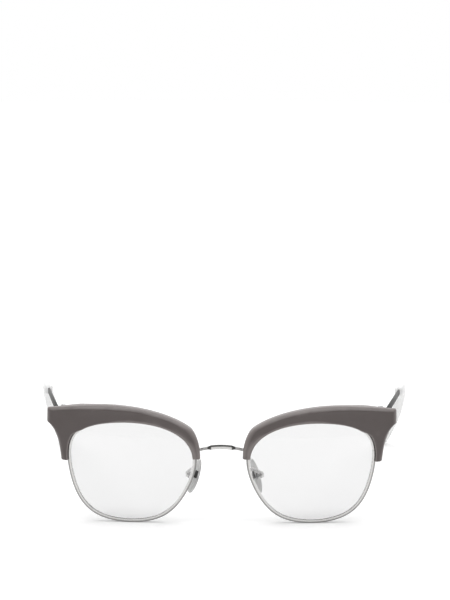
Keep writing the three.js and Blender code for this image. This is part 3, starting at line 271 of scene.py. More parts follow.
def rounded_block(low, high, corner=0.15, steps=3):
    """Box with round edges: rounded rectangles in x and y, drawn in round the lower and upper edge."""
    low, high = np.asarray(low, float), np.asarray(high, float)
    angle = np.linspace(0, math.pi / 2, steps + 1)
    inset = corner * (1 - np.sin(angle))
    rise = corner * (1 - np.cos(angle))
    insets = np.r_[inset, inset[::-1]]
    levels = np.r_[low[2] + rise, high[2] - rise[::-1]]
    width, depth = high[:2] - low[:2]
    full = rounded_rectangle(width, depth, corner, steps)
    centres = np.sign(full) * (np.array([width, depth]) / 2 - corner)
    share = (1 - insets / corner)[:, None, None]
    flat = centres + (full - centres) * share
    rings = np.empty((len(levels), len(full), 3))
    rings[..., :2] = flat + (low[:2] + high[:2]) / 2
    rings[..., 2] = levels[:, None]
    return rings


def turned_rod(radii, levels, sides=40):
    """Turned piece about the z axis: a circle of each radius at each level."""
    angle = np.linspace(0, 2 * math.pi, sides, endpoint=False)
    radii, levels = np.asarray(radii, float)[:, None], np.asarray(levels, float)[:, None]
    circle = [radii * np.cos(angle), radii * np.sin(angle), levels + 0 * angle]
    return np.stack(circle, -1)


def eased_rod(radius, low, high, ease=0.08):
    """Cylinder about the z axis with eased ends."""
    radii = [radius - ease, radius, radius, radius - ease]
    return turned_rod(radii, [low, low + ease, high - ease, high])


def along_axis(rings, head, end):
    """Rings about the z axis, turned so that z runs from head to end, with z = 0 at the head."""
    axis = (end - head) / np.linalg.norm(end - head)
    side = np.cross(axis, [0.3, 0.2, 1.0] if abs(axis[2]) < 0.9 else [1.0, 0.2, 0.1])
    side /= np.linalg.norm(side)
    return head + rings @ np.array([side, np.cross(axis, side), axis])


def slotted_screw(head, end, shank, radius, height):
    """Screw from head to end: a shank and disc turned in one with a chamfered point, and two
    half-moons, rounded at the top, with the slot between them."""
    head, end = np.asarray(head, float), np.asarray(end, float)
    length = np.linalg.norm(end - head)
    middle, slot, ease = height * 0.55, radius * 0.16, min(0.1, height * 0.25)
    body = turned_rod(
        [radius * 0.97, radius, radius, shank, shank, shank * 0.8],
        [middle, middle + 0.02, height, height, length - 0.12, length], 28)
    start = math.asin(slot / radius)
    angle = np.linspace(start, math.pi - start, 15)
    moon = np.stack([np.cos(angle), np.sin(angle)], -1) * radius
    centre = np.array([0, (slot + radius) / 2])
    shares = np.array([1 - 2 * ease / radius, 1 - 0.6 * ease / radius, 1.0, 1.0])[:, None, None]
    levels = np.array([0.0, ease * 0.35, ease, middle + 0.05])
    flat = centre + (moon - centre) * shares
    levels = np.broadcast_to(levels[:, None, None], flat.shape[:2] + (1,))
    half = np.concatenate([flat, levels], -1)
    return [along_axis(rings, head, end) for rings in (body, half, half * [1, -1, 1])]


def tube(path, radius, sides=20):
    """Round wire along a path: circles square to the path's direction."""
    direction = np.gradient(path, axis=0)
    direction /= np.linalg.norm(direction, axis=1, keepdims=True)
    side = np.cross(direction, [0.0, 0.0, 1.0])
    side /= np.linalg.norm(side, axis=1, keepdims=True)
    up = np.cross(side, direction)
    angle = np.linspace(0, 2 * math.pi, sides, endpoint=False)[None, :, None]
    return path[:, None] + radius * (np.cos(angle) * side[:, None] + np.sin(angle) * up[:, None])


def bezier(points, share):
    """Bezier curve from its first to its last control point, by Bernstein weights at the shares."""
    points = np.asarray(points, float)
    order = len(points) - 1
    k = np.arange(order + 1)
    binomial = np.array([math.comb(order, i) for i in k])
    share = np.asarray(share, float)[:, None]
    return (binomial * share**k * (1 - share) ** (order - k)) @ points


def drawn_in(rows, shares):
    """Each row's values drawn in to a share of their distance from the row's mean."""
    middle = rows.mean(1, keepdims=True)
    return middle + (rows - middle) * shares


def ring_faces(rows, columns):
    """Faces over rings: quads between neighbouring rings, and one face over each end."""
    i, j = np.arange(rows - 1)[:, None], np.arange(columns)[None, :]
    beside = (j + 1) % columns
    near, far = i * columns, (i + 1) * columns
    quads = np.stack([near + j, near + beside, far + beside, far + j], -1).reshape(-1, 4)
    return quads, [np.arange(columns)[::-1], np.arange(columns) + (rows - 1) * columns]


def enclosed(points, quads, ends):
    """Six times the volume inside the faces, by the sum of each triangle's corner product; it is
    negative if the faces are inside out."""
    triangles = [quads[:, [0, 1, 2]], quads[:, [0, 2, 3]]]
    triangles += [np.stack([np.full(len(e) - 2, e[0]), e[1:-1], e[2:]], -1) for e in ends]
    a, b, c = np.moveaxis(points[np.concatenate(triangles)], 1, 0)
    return (a * np.cross(b, c)).sum()


def placed(name, data):
    """New object in the scene."""
    item = bpy.data.objects.new(name, data)
    bpy.context.scene.collection.objects.link(item)
    return item


def make_piece(name, solids, sign, finish, body, nodes, tone=None):
    """One object from ring solids in millimetres: mirrored if sign is -1, moved to the part's frame,
    faces outwards. A tone for each point of the first solid is kept as an attribute, with the plain
    tone on the other solids."""
    points, faces = [], []
    for rings in solids:
        flat = rings.reshape(-1, 3) * [sign, 1, 1]
        quads, ends = ring_faces(*rings.shape[:2])
        if enclosed(flat - flat.mean(0), quads, ends) < 0:
            quads, ends = quads[:, ::-1], [e[::-1] for e in ends]
        first = sum(len(p) for p in points)
        points.append((flat + [0, FRONT_Y, 0]) * MM)
        faces += (quads + first).tolist() + [(e + first).tolist() for e in ends]
    mesh = bpy.data.meshes.new(name)
    mesh.from_pydata(np.concatenate(points).tolist(), [], faces)
    if tone is not None:
        tones = np.full(len(mesh.vertices), PLAIN_TONE)
        tones[:tone.size] = tone.ravel()
        mesh.attributes.new("tone", "FLOAT", "POINT").data.foreach_set("value", tones)
    mesh.shade_smooth()
    mesh.set_sharp_from_angle(angle=SHARP_ANGLE)
    mesh.materials.append(finish)
    piece = placed(name, mesh)
    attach(piece, body)
    if nodes:
        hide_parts(*nodes)


# Shapes of the left half


def rim_section():
    """Channel section of the eyewire as [outwards, back], and its tone: a slightly crowned front face,
    round outer edges, eased lips and a V groove inside. The tone is painted reflection and shade: light
    on the inner half of the face and in the groove, dark towards its outer edge, round the edges and
    over the back."""
    half, r = RIM_DEPTH / 2, RIM_ROUND
    flare = BEVEL_HALF_WIDTH / (BEVEL_HEIGHT + SEAT_GAP)
    mouth = flare * (BEVEL_HEIGHT + LENS_CLEARANCE) + RUNNING_GAP
    s = np.linspace(-1, 1, 9)
    inner, outer = RIM_LIP - BEVEL_HEIGHT, RIM_OUTER - r
    across = (inner + outer) / 2 + s * (outer - inner) / 2
    face = np.stack([across, -half - RIM_CROWN * (1 - s**2)], -1)
    a = np.linspace(0, math.pi / 2, 6)
    front = np.stack([RIM_OUTER - r + r * np.sin(a), -half + r - r * np.cos(a)], -1)[1:]
    back = np.stack([RIM_OUTER - r + r * np.cos(a), half - r + r * np.sin(a)], -1)
    groove = np.array([
        [RIM_LIP - BEVEL_HEIGHT, half], [-BEVEL_HEIGHT, half - RIM_LIP], [-BEVEL_HEIGHT, mouth],
        [LENS_CLEARANCE, 0], [-BEVEL_HEIGHT, -mouth], [-BEVEL_HEIGHT, RIM_LIP - half],
    ])
    # Painted reflection and shade: the face light on its inner half, dark at its outer edge, edges and
    # back.
    light, dark = RIM_FACE_PAINTED_TONES
    tone = np.r_[
        light - (light - dark) * smooth(s, *RIM_FACE_FADE),
        np.linspace(*RIM_EDGE_PAINTED_TONES, len(front)),
        np.full(len(back), RIM_BACK_PAINTED_TONE),
        np.full(len(groove), GROOVE_PAINTED_TONE),
    ]
    return np.concatenate([face, front, back, groove]), tone


def lock_place():
    """Corner of the rim lock nearest the lens: across, back and level about the lens centre."""
    point = outline(LOCK_STATION, RIM_OUTER)[0]
    front = sag(point[0], point[1]) + FRONT_FACE + TAB_THICKNESS + SEAT_GAP
    return point[0] - SUNK, front, point[1]


def ear(t):
    """Plate that stands on the eyewire, along the outline's normal."""
    point, normal = outline(t, RIM_OUTER)
    low = [-EAR_WIDTH / 2, -EAR_THICKNESS / 2, -SUNK]
    plate = rounded_block(low, [EAR_WIDTH / 2, EAR_THICKNESS / 2, EAR_HEIGHT], EAR_CORNER)
    plate = turned_y(plate, math.atan2(normal[0], normal[1]))
    return plate + [point[0], sag(point[0], point[1]), point[1]]


def eyewire():
    """Eyewire and its tone: the rim section carried round the outline from one side of the split to
    the other, with lock blocks and ears."""
    below = station_at(LOCK_LEVEL - SPLIT_LINE / 2, *TEMPLE_SIDE)
    above = station_at(LOCK_LEVEL + SPLIT_LINE / 2, *TEMPLE_SIDE)
    t = np.linspace(below, above + len(LENS_CORNERS), 281)[:, None]
    section, tone = rim_section()
    point = outline(t + 0 * section[:, 0], section[:, 0])[0]
    wire = on_front(point[..., 0], point[..., 1], section[:, 1])
    inner, front, level = lock_place()
    outer, back, half = inner + LOCK_REACH + SUNK, front + LOCK_DEPTH, LOCK_GAP / 2
    blocks = [
        rounded_block([inner, front, low], [outer, back, low + LOCK_HEIGHT], LOCK_CORNER)
        for low in (level + half, level - half - LOCK_HEIGHT)]
    solids = [wire] + blocks + [ear(station) for station in EAR_STATIONS]
    return [lens_place(rings) for rings in solids], np.broadcast_to(tone, wire.shape[:2])


def lock_screw():
    """Slotted screw up through both lock blocks."""
    inner, front, level = lock_place()
    across, back = inner + SUNK + LOCK_REACH / 2, front + LOCK_DEPTH / 2
    reach = LOCK_GAP / 2 + LOCK_HEIGHT
    head = [across, back, level - reach - SEAT_GAP - LOCK_SCREW[2]]
    screw = slotted_screw(head, [across, back, level + reach], *LOCK_SCREW)
    return [lens_place(rings) for rings in screw]


def lens():
    """Meniscus: outline rings shrunk towards the middle on the front, the bevelled edge, and the same
    rings on the back."""
    half, land = LENS_THICKNESS / 2, -(BEVEL_HEIGHT + SEAT_GAP)
    share = np.linspace(POLE_SHARE, 1, 24)
    edge = [[1, land, -BEVEL_HALF_WIDTH], [1, 0, 0], [1, land, BEVEL_HALF_WIDTH]]
    front = np.stack([share, share * 0 + land, share * 0 - half], -1)
    rows = np.concatenate([front, edge, front[::-1] * [1, 1, -1]])[:, None]
    t = np.linspace(0, len(LENS_CORNERS), 144, endpoint=False)[None]
    point = outline(t + 0 * rows[..., 1], rows[..., 1] + 0 * t)[0] * rows[..., 0, None]
    return [lens_place(on_front(point[..., 0], point[..., 1], rows[..., 2]))]


def brow_edge():
    """Outer edge of the brow as seven Bezier curves, sampled: places, and the lens stations that they
    face. Handles are shares of the climb, arch, wing and drop. A close row beside each end leaves the
    drawn-in end rows as small chamfers."""
    nose = np.array([-HALF_WIDTH - NOSE_COVER, NOSE_END_LEVEL])
    shoulder = np.array([-HALF_WIDTH + NOSE_SHOULDER_INSET, HALF_HEIGHT - NOSE_SHOULDER_DROP])
    peak = np.array([BROW_PEAK_OUT, HALF_HEIGHT + BROW_RISE])
    lug_top = np.array([LUG_END - LUG_CORNER, LUG_TOP])
    lug_corner = np.array([LUG_END, LUG_TOP])
    lug_side = np.array([LUG_END, LUG_TOP - LUG_CORNER])
    lug_foot = np.array([LUG_END, LUG_TOP - LUG_HEIGHT])
    tab_side = np.array([HALF_WIDTH + TAB_REACH, TAB_LEVEL + TAB_CORNER])
    tab_foot = np.array([HALF_WIDTH + TAB_REACH - TAB_CORNER, TAB_LEVEL])
    tab_corner = np.array([tab_side[0], tab_foot[1]])
    climb, arch = shoulder[1] - nose[1], peak[0] - shoulder[0]
    wing, drop = lug_top[0] - peak[0], lug_foot[1] - tab_side[1]
    flank = [lug_foot - [drop * 0.29, drop * 0.22], tab_side + [drop * 0.05, drop * 0.43]]
    curves = [
        [nose, nose + [0, climb * 0.5], shoulder - [arch * 0.07, arch * 0.055], shoulder],
        [shoulder, shoulder + [arch * 0.17, arch * 0.13], peak - [arch * 0.48, 0], peak],
        [peak, peak + [wing * 0.36, 0], lug_top + [-wing * 0.33, wing * 0.035], lug_top],
        [lug_top, lug_corner, lug_side],
        [lug_side, lug_foot],
        [lug_foot, *flank, tab_side],
        [tab_side, tab_corner, tab_foot],
    ]
    stations = [NOSE_STATION, *EDGE_STATIONS, TAB_STATION - TAB_TURN, TAB_STATION]
    steps = [20, 44, 44, 8, 8, 40, 8]
    shares = [np.linspace(0, 1, n + 1)[(1 if k else 0):] for k, n in enumerate(steps)]
    shares[0] = np.insert(shares[0], 1, 0.012)
    shares[-1] = np.insert(shares[-1], -1, 0.85)
    place = np.concatenate([bezier(c, s) for c, s in zip(curves, shares)])
    spans = zip(stations[:-1], stations[1:], shares)
    return place, np.concatenate([a + (b - a) * s for a, b, s in spans])


def brow_back(t):
    """Depth of the brow behind the bowl: thin at the nose and tab, deeper over the lens, deepest at
    the lug."""
    nose, tab = FRONT_FACE + NOSE_END_THICKNESS, FRONT_FACE + TAB_THICKNESS
    body = nose + (BROW_DEPTH - nose) * smooth(t, NOSE_STATION + NOSE_DEEPENING, BODY_FULL)
    body = body + (LUG_DEPTH - BROW_DEPTH) * smooth(t, *LUG_DEEPENING)
    return body + (tab - body) * smooth(t, *TAB_THINNING)


def brow():
    """Brow and its tone. At each station a section runs from the eyewire to the outer edge: an eased
    lower lip, a flat face, a round crown, an eased back edge and a rebate behind for the eyewire. The
    back of the lug is cut flat where the hinge plate sits. The tone is painted light: it rises in the
    thin edge beside the lens, where light comes through, and a painted highlight lies over the crown,
    most of all by the nose."""
    outer, t = brow_edge()
    inset = -BEVEL_HEIGHT - BROW_COVER
    inner_out = inset + (RIM_OUTER - SEAT_GAP - inset) * smooth(t, *RIM_CLEARING)
    inner, normal = outline(t, inner_out)
    span = outer - inner
    width = np.linalg.norm(span, axis=1)
    direction = span / width[:, None]
    back, lip = brow_back(t), -RIM_DEPTH / 2 - SEAT_GAP
    slant = (direction * normal).sum(1)
    step = np.minimum((RIM_OUTER + SEAT_GAP - inner_out) / slant, width * 0.6)
    crown, edge = np.minimum(BROW_CROWN, width * 0.4), np.minimum(BROW_EDGE, width / 6)
    lower = np.minimum(BROW_LOWER, width / 4)
    a = np.linspace(0, math.pi / 2, 6)[:, None]
    b = np.linspace(0, math.pi / 2, 12)[:, None]
    along = np.concatenate([
        lower * (1 - np.cos(a)),
        [lower + (width - crown - lower) * 0.12],
        width - crown + crown * np.sin(b),
        width - edge + edge * np.cos(a),
        [step, step, 0 * step],
    ]).T
    depth = np.concatenate([
        FRONT_FACE + BROW_LOWER_DEPTH * (1 - np.sin(a)) + 0 * width,
        [FRONT_FACE + 0 * width],
        FRONT_FACE + crown - crown * np.cos(b),
        back - edge + edge * np.sin(a),
        [back, 0 * back + lip, 0 * back + lip],
    ]).T
    shares = np.ones((len(t), 1))
    shares[[0, -1]] = END_SHARE
    along, depth = drawn_in(along, shares), drawn_in(depth, shares)
    place = inner[:, None] + direction[:, None] * along[..., None]
    rings = lens_place(on_front(place[..., 0], place[..., 1], depth))
    beside = np.maximum(0, HINGE[0] - PLATE_LENGTH - LUG_CORNER - rings[..., 0])
    rings[..., 1] = np.minimum(rings[..., 1], SEAT_Y + beside * SEAT_RAMP)
    # Painted light in the thin edge beside the lens, and a painted highlight over the crown and top
    # ridge, strongest by the nose.
    outwards = smooth(t, *THIN_STATIONS)[:, None]
    thin = 1 - smooth(along, 0.0, THIN_WIDTH - THIN_NARROWING * outwards)
    thin = thin * (depth <= lip + 0.01) * (1 - THIN_FALL * outwards)
    w = width[:, None]
    top = CROWN_PAINTED_HIGHLIGHT * smooth(along, w - CROWN_BAND[0], w - CROWN_BAND[1])
    top = top + RIDGE_PAINTED_HIGHLIGHT * smooth(along, w - RIDGE_BAND[0], w - RIDGE_BAND[1])
    gain = 1 + NOSE_CROWN_GAIN * (1 - smooth(t, *CROWN_STATIONS))
    top = top * (depth < back[:, None] - 0.05) * gain[:, None]
    return [rings], np.maximum(thin, top)


def brow_screw(t):
    """Slotted screw from behind the brow through the ear."""
    across, up = outline(t, RIM_OUTER + EAR_HEIGHT * EAR_HOLE_SHARE)[0]
    back = sag(across, up)
    head = back + float(brow_back(np.array(t))) + SEAT_GAP + BROW_SCREW[2]
    end = [across, back - BROW_SCREW_REACH, up]
    return [lens_place(rings) for rings in slotted_screw([across, head, up], end, *BROW_SCREW)]


def bridge():
    """Bridge and its tone: ellipses along x that swell from the wire to the middle bar, on an arch
    that falls with x squared. The tone is painted reflection and shade: dark on the upper side of the
    bar and in bands at its ends, and darker on the wire than on the bar."""
    t = station_at(BRIDGE_LEVEL, *NOSE_SIDE)
    point = outline(t, RIM_OUTER + SEAT_GAP + BRIDGE_TUCK)[0]
    behind = FRONT_FACE + NOSE_END_THICKNESS + SEAT_GAP * 2
    end = lens_place(on_front(point[0], point[1], behind + BRIDGE_WIRE))
    side = lens_place(on_front(-HALF_WIDTH - NOSE_COVER, BRIDGE_LEVEL, 0.0))[0] - SEAT_GAP
    x = np.linspace(-end[0], end[0], 121)
    past = np.abs(x) - BAR_LENGTH / 2
    share = 1 - smooth(past, 0, BRIDGE_SHOULDER)
    high = BRIDGE_WIRE + (BAR_HEIGHT / 2 - BRIDGE_WIRE) * share
    deep = BRIDGE_WIRE + (BAR_DEPTH / 2 - BRIDGE_WIRE) * share
    rise = 1 - np.minimum(1, (x / side) ** 2)
    angle = np.linspace(0, 2 * math.pi, 28, endpoint=False)
    y = (end[1] - BRIDGE_BOW * rise)[:, None] + deep[:, None] * np.cos(angle)
    z = (end[2] + BRIDGE_RISE * rise)[:, None] + high[:, None] * np.sin(angle)
    # Painted reflection: dark on the bar's upper side and in bands at its ends; painted shade darkens
    # the wire.
    top = smooth(np.sin(angle), *BAR_PAINTED_TOP) * (past < BRIDGE_SHOULDER)[:, None]
    painted_band = smooth(past, *PAINTED_BAND_START) * (1 - smooth(past, *PAINTED_BAND_END))
    tone = BAR_TONE - (BAR_TONE - WIRE_TONE) * smooth(past, 0, BAR_FADE)
    tone = tone[:, None] * (1 - np.maximum(top, painted_band[:, None]))
    return [np.stack([x[:, None] + 0 * y, y, z], -1)], tone


def pad_place(points, sign):
    """Points of the pad's own frame (x away from the nose, y back along the rocking axis), turned and
    moved."""
    lead = np.array([PAD_AXIS_OFFSET + PAD_SIZE[2] / 2, 0, 0])
    turned, lead = (
        turned_z(turned_y(np.asarray(p, float), -PAD_TILT), -PAD_SPLAY) for p in (points, lead))
    middle = [PAD_SPACING / 2 + sign * PAD_SHIFT, PAD_SETBACK, CENTRE_Z + PAD_LEVEL]
    return turned + lead + middle


def nose_pad(sign):
    """Oval pad and its tone: ellipses whose size follows a superellipse through the thickness, and the
    lug on its back. The tone falls in a painted shade line round the edge, towards the nose."""
    width, height, thick = PAD_SIZE
    v = np.sin(np.linspace(-math.pi / 2, math.pi / 2, 31))
    share = np.maximum(1 - np.abs(v) ** PAD_SQUARENESS, 0) ** (1 / PAD_SQUARENESS)
    share = np.maximum(share, POLE_SHARE)[:, None]
    angle = np.linspace(0, 2 * math.pi, 72, endpoint=False)
    deep = (PAD_AXIS_OFFSET + thick * (0.5 + 0.5 * v))[:, None] + 0 * angle
    across, up = share * np.cos(angle) * width / 2, share * np.sin(angle) * height / 2
    oval = np.stack([-deep, across, up], -1)
    wide, high, tip = PAD_LUG
    lug = rounded_block([-PAD_AXIS_OFFSET - thick / 2, -wide / 2, -high], [tip, wide / 2, high])
    # Painted shade: a dark line round the pad's edge, towards the nose.
    tone = 1 - smooth(v, *PAD_LINE_START) * (1 - smooth(v, *PAD_LINE_END))
    tone = np.broadcast_to(tone[:, None], oval.shape[:2])
    return [pad_place(oval, sign), pad_place(lug, sign)], tone


def pad_clip(sign):
    """Dark clip plate on the back of the pad, in front of its lug, and its even tone."""
    back = CLIP_BACK - PAD_AXIS_OFFSET
    low, high = [back - CLIP_THICKNESS, *CLIP_LOW], [back, *CLIP_HIGH]
    plate = pad_place(rounded_block(low, high, CLIP_CORNER), sign)
    return [plate], np.full(plate.shape[:2], CLIP_TONE)


def pad_box(sign):
    """Forked box: two cheeks beside the pad's lug and a back that joins them."""
    half, inner = BOX_HEIGHT / 2, PAD_LUG[0] / 2 + SEAT_GAP
    near = rounded_block([-BOX_FRONT, inner, -half], [BOX_END, BOX_HALF, half])
    far = rounded_block([-BOX_FRONT, -BOX_HALF, -half], [BOX_END, -inner, half])
    back = rounded_block([BOX_SLOT, -BOX_HALF, -half], [BOX_END, BOX_HALF, half])
    return [pad_place(rings, sign) for rings in (near, far, back)]


def pad_screw(sign):
    """Slotted screw along the rocking axis."""
    head = [0, -BOX_HALF - SEAT_GAP - PAD_SCREW[2], 0]
    return [pad_place(rings, sign) for rings in slotted_screw(head, [0, BOX_HALF, 0], *PAD_SCREW)]


def pad_arm(sign):
    """Wire on a cubic Bezier from the back of the eyewire, out behind the lens and round to the box."""
    point = outline(station_at(ARM_LEVEL, *NOSE_SIDE))[0]
    root = lens_place(on_front(point[0], point[1], RIM_DEPTH / 2 + SEAT_GAP))
    end = pad_place([BOX_END + SEAT_GAP, 0, 0], sign)
    lead = pad_place([BOX_END + SEAT_GAP + ARM_BULGE, 0, 0], sign)
    path = bezier([root, root + [0, ARM_BULGE, 0], lead, end], np.linspace(0, 1, 41))
    return [tube(path, ARM_RADIUS)]


def hinge_leaf():
    """Plate on the lug, and above and below the temple's knuckle a barrel with its web."""
    half, front = PLATE_HEIGHT / 2, PLATE_BACK - PLATE_THICKNESS
    low, high = [PLATE_END - PLATE_LENGTH, front, -half], [PLATE_END, PLATE_BACK, half]
    solids = [rounded_block(low, high, PLATE_CORNER)]
    for low, high in ((-KNUCKLE_FAR, -KNUCKLE_NEAR), (KNUCKLE_NEAR, KNUCKLE_FAR)):
        solids.append(eased_rod(KNUCKLE_RADIUS, low, high))
        near = [-KNUCKLE_RADIUS * WEB_SHARE, PLATE_BACK - PLATE_THICKNESS / 2, low + WEB_INSET]
        solids.append(rounded_block(near, [PLATE_END, 0, high - WEB_INSET], WEB_CORNER))
    return [rings + HINGE for rings in solids]


def hinge_plate_screw(pitches):
    """Slotted screw through the hinge plate into the lug."""
    x = PLATE_END - PLATE_LENGTH + PLATE_SCREW_PITCH * pitches
    head = [x, PLATE_BACK + SEAT_GAP + PLATE_SCREW[2], 0]
    end = [x, PLATE_BACK - PLATE_THICKNESS - SEAT_GAP - PLATE_SCREW_REACH, 0]
    return [rings + HINGE for rings in slotted_screw(head, end, *PLATE_SCREW)]


def hinge_screw():
    """Slotted screw down through the three knuckles."""
    head = [0, 0, KNUCKLE_FAR + SEAT_GAP + HINGE_SCREW[2]]
    return [rings + HINGE for rings in slotted_screw(head, [0, 0, -KNUCKLE_FAR], *HINGE_SCREW)]


def temple_place(length, sideways, up):
    """Section points on the temple's line: a straight slope, a circular bend and a straight leg,
    curving inwards with a power of the share past the bend; then turned out by the splay about the
    hinge."""
    length = np.asarray(length, float)[:, None]
    straight = np.minimum(length, BEND_START)
    angle = TEMPLE_SLOPE + np.clip((length - BEND_START) / BEND_RADIUS, 0, BEND_ANGLE)
    leg = np.maximum(0, length - BEND_START - BEND_LENGTH)
    y = straight * math.cos(TEMPLE_SLOPE) + leg * math.cos(STEEP)
    y = y + BEND_RADIUS * (np.sin(angle) - math.sin(TEMPLE_SLOPE)) + up * np.sin(angle)
    z = -straight * math.sin(TEMPLE_SLOPE) - leg * math.sin(STEEP)
    z = z - BEND_RADIUS * (math.cos(TEMPLE_SLOPE) - np.cos(angle)) + up * np.cos(angle)
    share = np.maximum(0, (length - BEND_START) / (TIP_END - BEND_START))
    x = TEMPLE_INNER + TEMPLE_THICKNESS / 2 - TIP_INWARD * share**TIP_INWARD_POWER + sideways
    return turned_z(np.stack(np.broadcast_arrays(x, y, z), -1), -TEMPLE_SPLAY) + HINGE


def temple():
    """Flat strip and its tone: rounded rectangles whose height falls along the length, with the barrel
    and web of its knuckle. The tone is painted shade, dark by the hinge and rising to the tip."""
    lean = (TEMPLE_INNER + TEMPLE_THICKNESS) * math.sin(TEMPLE_SPLAY)
    butt = PLATE_BACK - PLATE_THICKNESS + lean + TEMPLE_HEIGHT / 2 * math.sin(TEMPLE_SLOPE)
    end = TIP_START - SEAT_GAP
    length = np.r_[butt, butt + 0.12, np.linspace(butt + 0.5, end, 60)]
    height = TEMPLE_HEIGHT + (TEMPLE_END_HEIGHT - TEMPLE_HEIGHT) * np.maximum(0, length) / end
    ease = np.where(length > butt, 1.0, END_SHARE)[:, None]
    section = rounded_rectangle(TEMPLE_THICKNESS, TEMPLE_HEIGHT, TEMPLE_CORNER)
    up = ease * section[:, 1] * (height / TEMPLE_HEIGHT)[:, None]
    strip = temple_place(length, ease * section[:, 0], up)
    half = KNUCKLE_HEIGHT / 2
    barrel = eased_rod(KNUCKLE_RADIUS, -half, half)
    far = [TEMPLE_INNER + TEMPLE_THICKNESS / 2, KNUCKLE_RADIUS, half - WEB_INSET]
    web = rounded_block([0, -KNUCKLE_RADIUS, WEB_INSET - half], far, WEB_CORNER)
    # Painted shade: the tone is dark at the hinge and rises to the tip.
    tone = np.broadcast_to(smooth(length, 0.0, end)[:, None], strip.shape[:2])
    return [strip] + [turned_z(rings, -TEMPLE_SPLAY) + HINGE for rings in (barrel, web)], tone


def temple_tip():
    """Tip: superellipse sections that widen along the temple's line, eased where it starts and closed
    in a dome."""
    dome = TIP_END + TIP_RADIUS * np.sin(np.linspace(0, math.pi / 2, 13))[1:-1]
    ease = np.linspace(0, math.pi / 2, 7)
    start = TIP_START + TIP_EASE * (1 - np.cos(ease))
    length = np.r_[start, np.linspace(TIP_START + TIP_EASE + 0.6, TIP_END, 70), dome]
    share = smooth(length, TIP_START, TIP_END)
    close = np.sqrt(np.maximum(0, 1 - (np.maximum(0, length - TIP_END) / TIP_RADIUS) ** 2))
    close[:len(ease)] = TIP_START_SHARE + (1 - TIP_START_SHARE) * np.sin(ease)
    width, height = (a + (b - a) * share for a, b in zip(TIP_SIZE, TIP_END_SIZE))
    width, height = width * np.maximum(close, TIP_LEAST_WIDTH), height * close
    angle = np.linspace(0, 2 * math.pi, 48, endpoint=False)
    c, s = np.cos(angle), np.sin(angle)
    power = TIP_SQUARENESS
    reach = (np.abs(c) ** power + np.abs(s) ** power) ** (-1 / power) / 2
    return [temple_place(length, width[:, None] * c * reach, height[:, None] * s * reach)]


# Finishes


def new_finish(name):
    """Material with its Principled shader and Object coordinates."""
    finish = bpy.data.materials.new(name)
    finish.use_nodes = True
    nodes = finish.node_tree.nodes
    place = nodes.new("ShaderNodeTexCoord").outputs["Object"]
    return finish, finish.node_tree, nodes["Principled BSDF"], place


def set_inputs(node, values):
    """Fixed values on a node's own sockets."""
    for name, value in values.items():
        node.inputs[name].default_value = value


def grain(tree, coordinates, scale, stretch=(1, 1, 1), detail=3.0):
    """Noise on stretched Object coordinates, as a factor."""
    mapping = tree.nodes.new("ShaderNodeMapping")
    mapping.inputs["Scale"].default_value = stretch
    tree.links.new(coordinates, mapping.inputs["Vector"])
    noise = tree.nodes.new("ShaderNodeTexNoise")
    set_inputs(noise, {"Scale": scale, "Detail": detail})
    tree.links.new(mapping.outputs["Vector"], noise.inputs["Vector"])
    return noise.outputs["Fac"]


def mapped(tree, factor, low, high, to_low, to_high):
    """Factor from low and high mapped to other ends."""
    node = tree.nodes.new("ShaderNodeMapRange")
    set_inputs(node, {"From Min": low, "From Max": high, "To Min": to_low, "To Max": to_high})
    tree.links.new(factor, node.inputs["Value"])
    return node.outputs["Result"]


def combined(tree, operation, first, second):
    """Two factors in one operation."""
    node = tree.nodes.new("ShaderNodeMath")
    node.operation = operation
    tree.links.new(first, node.inputs[0])
    tree.links.new(second, node.inputs[1])
    return node.outputs[0]


def toned(tree, factor, amount):
    """The piece's tone attribute, painted light and shade on most pieces, plus an amount of a factor.
    """
    tone = tree.nodes.new("ShaderNodeAttribute")
    tone.attribute_name = "tone"
    node = tree.nodes.new("ShaderNodeMath")
    node.operation = "MULTIPLY_ADD"
    node.inputs[1].default_value = amount
    tree.links.new(factor, node.inputs[0])
    tree.links.new(tone.outputs["Fac"], node.inputs[2])
    return node.outputs[0]


def tint(tree, shader, factor, stops):
    """Base colour from a ramp over a factor; stops are (place, colour)."""
    node = tree.nodes.new("ShaderNodeValToRGB")
    elements = node.color_ramp.elements
    while len(elements) < len(stops):
        elements.new(0.5)
    for element, (place, shade) in zip(elements, stops):
        element.position = place
        element.color = (*shade, 1)
    tree.links.new(factor, node.inputs["Fac"])
    tree.links.new(node.outputs["Color"], shader.inputs["Base Color"])


def roughen(tree, shader, factor, low, high):
    """Roughness from low to high over the middle range of a factor."""
    tree.links.new(mapped(tree, factor, 0.3, 0.7, low, high), shader.inputs["Roughness"])


def relief(tree, shader, factor, strength, depth):
    """Bump from a factor on a shader's normal."""
    node = tree.nodes.new("ShaderNodeBump")
    set_inputs(node, {"Strength": strength, "Distance": depth})
    tree.links.new(factor, node.inputs["Height"])
    tree.links.new(node.outputs["Normal"], shader.inputs["Normal"])


def colour(code):
    """Linear colour of an sRGB code such as 5b5452."""
    values = np.array([int(code[i:i + 2], 16) for i in (0, 2, 4)]) / 255
    curved = ((values + 0.055) / 1.055) ** 2.4
    return tuple(np.where(values <= 0.04045, values / 12.92, curved).tolist())


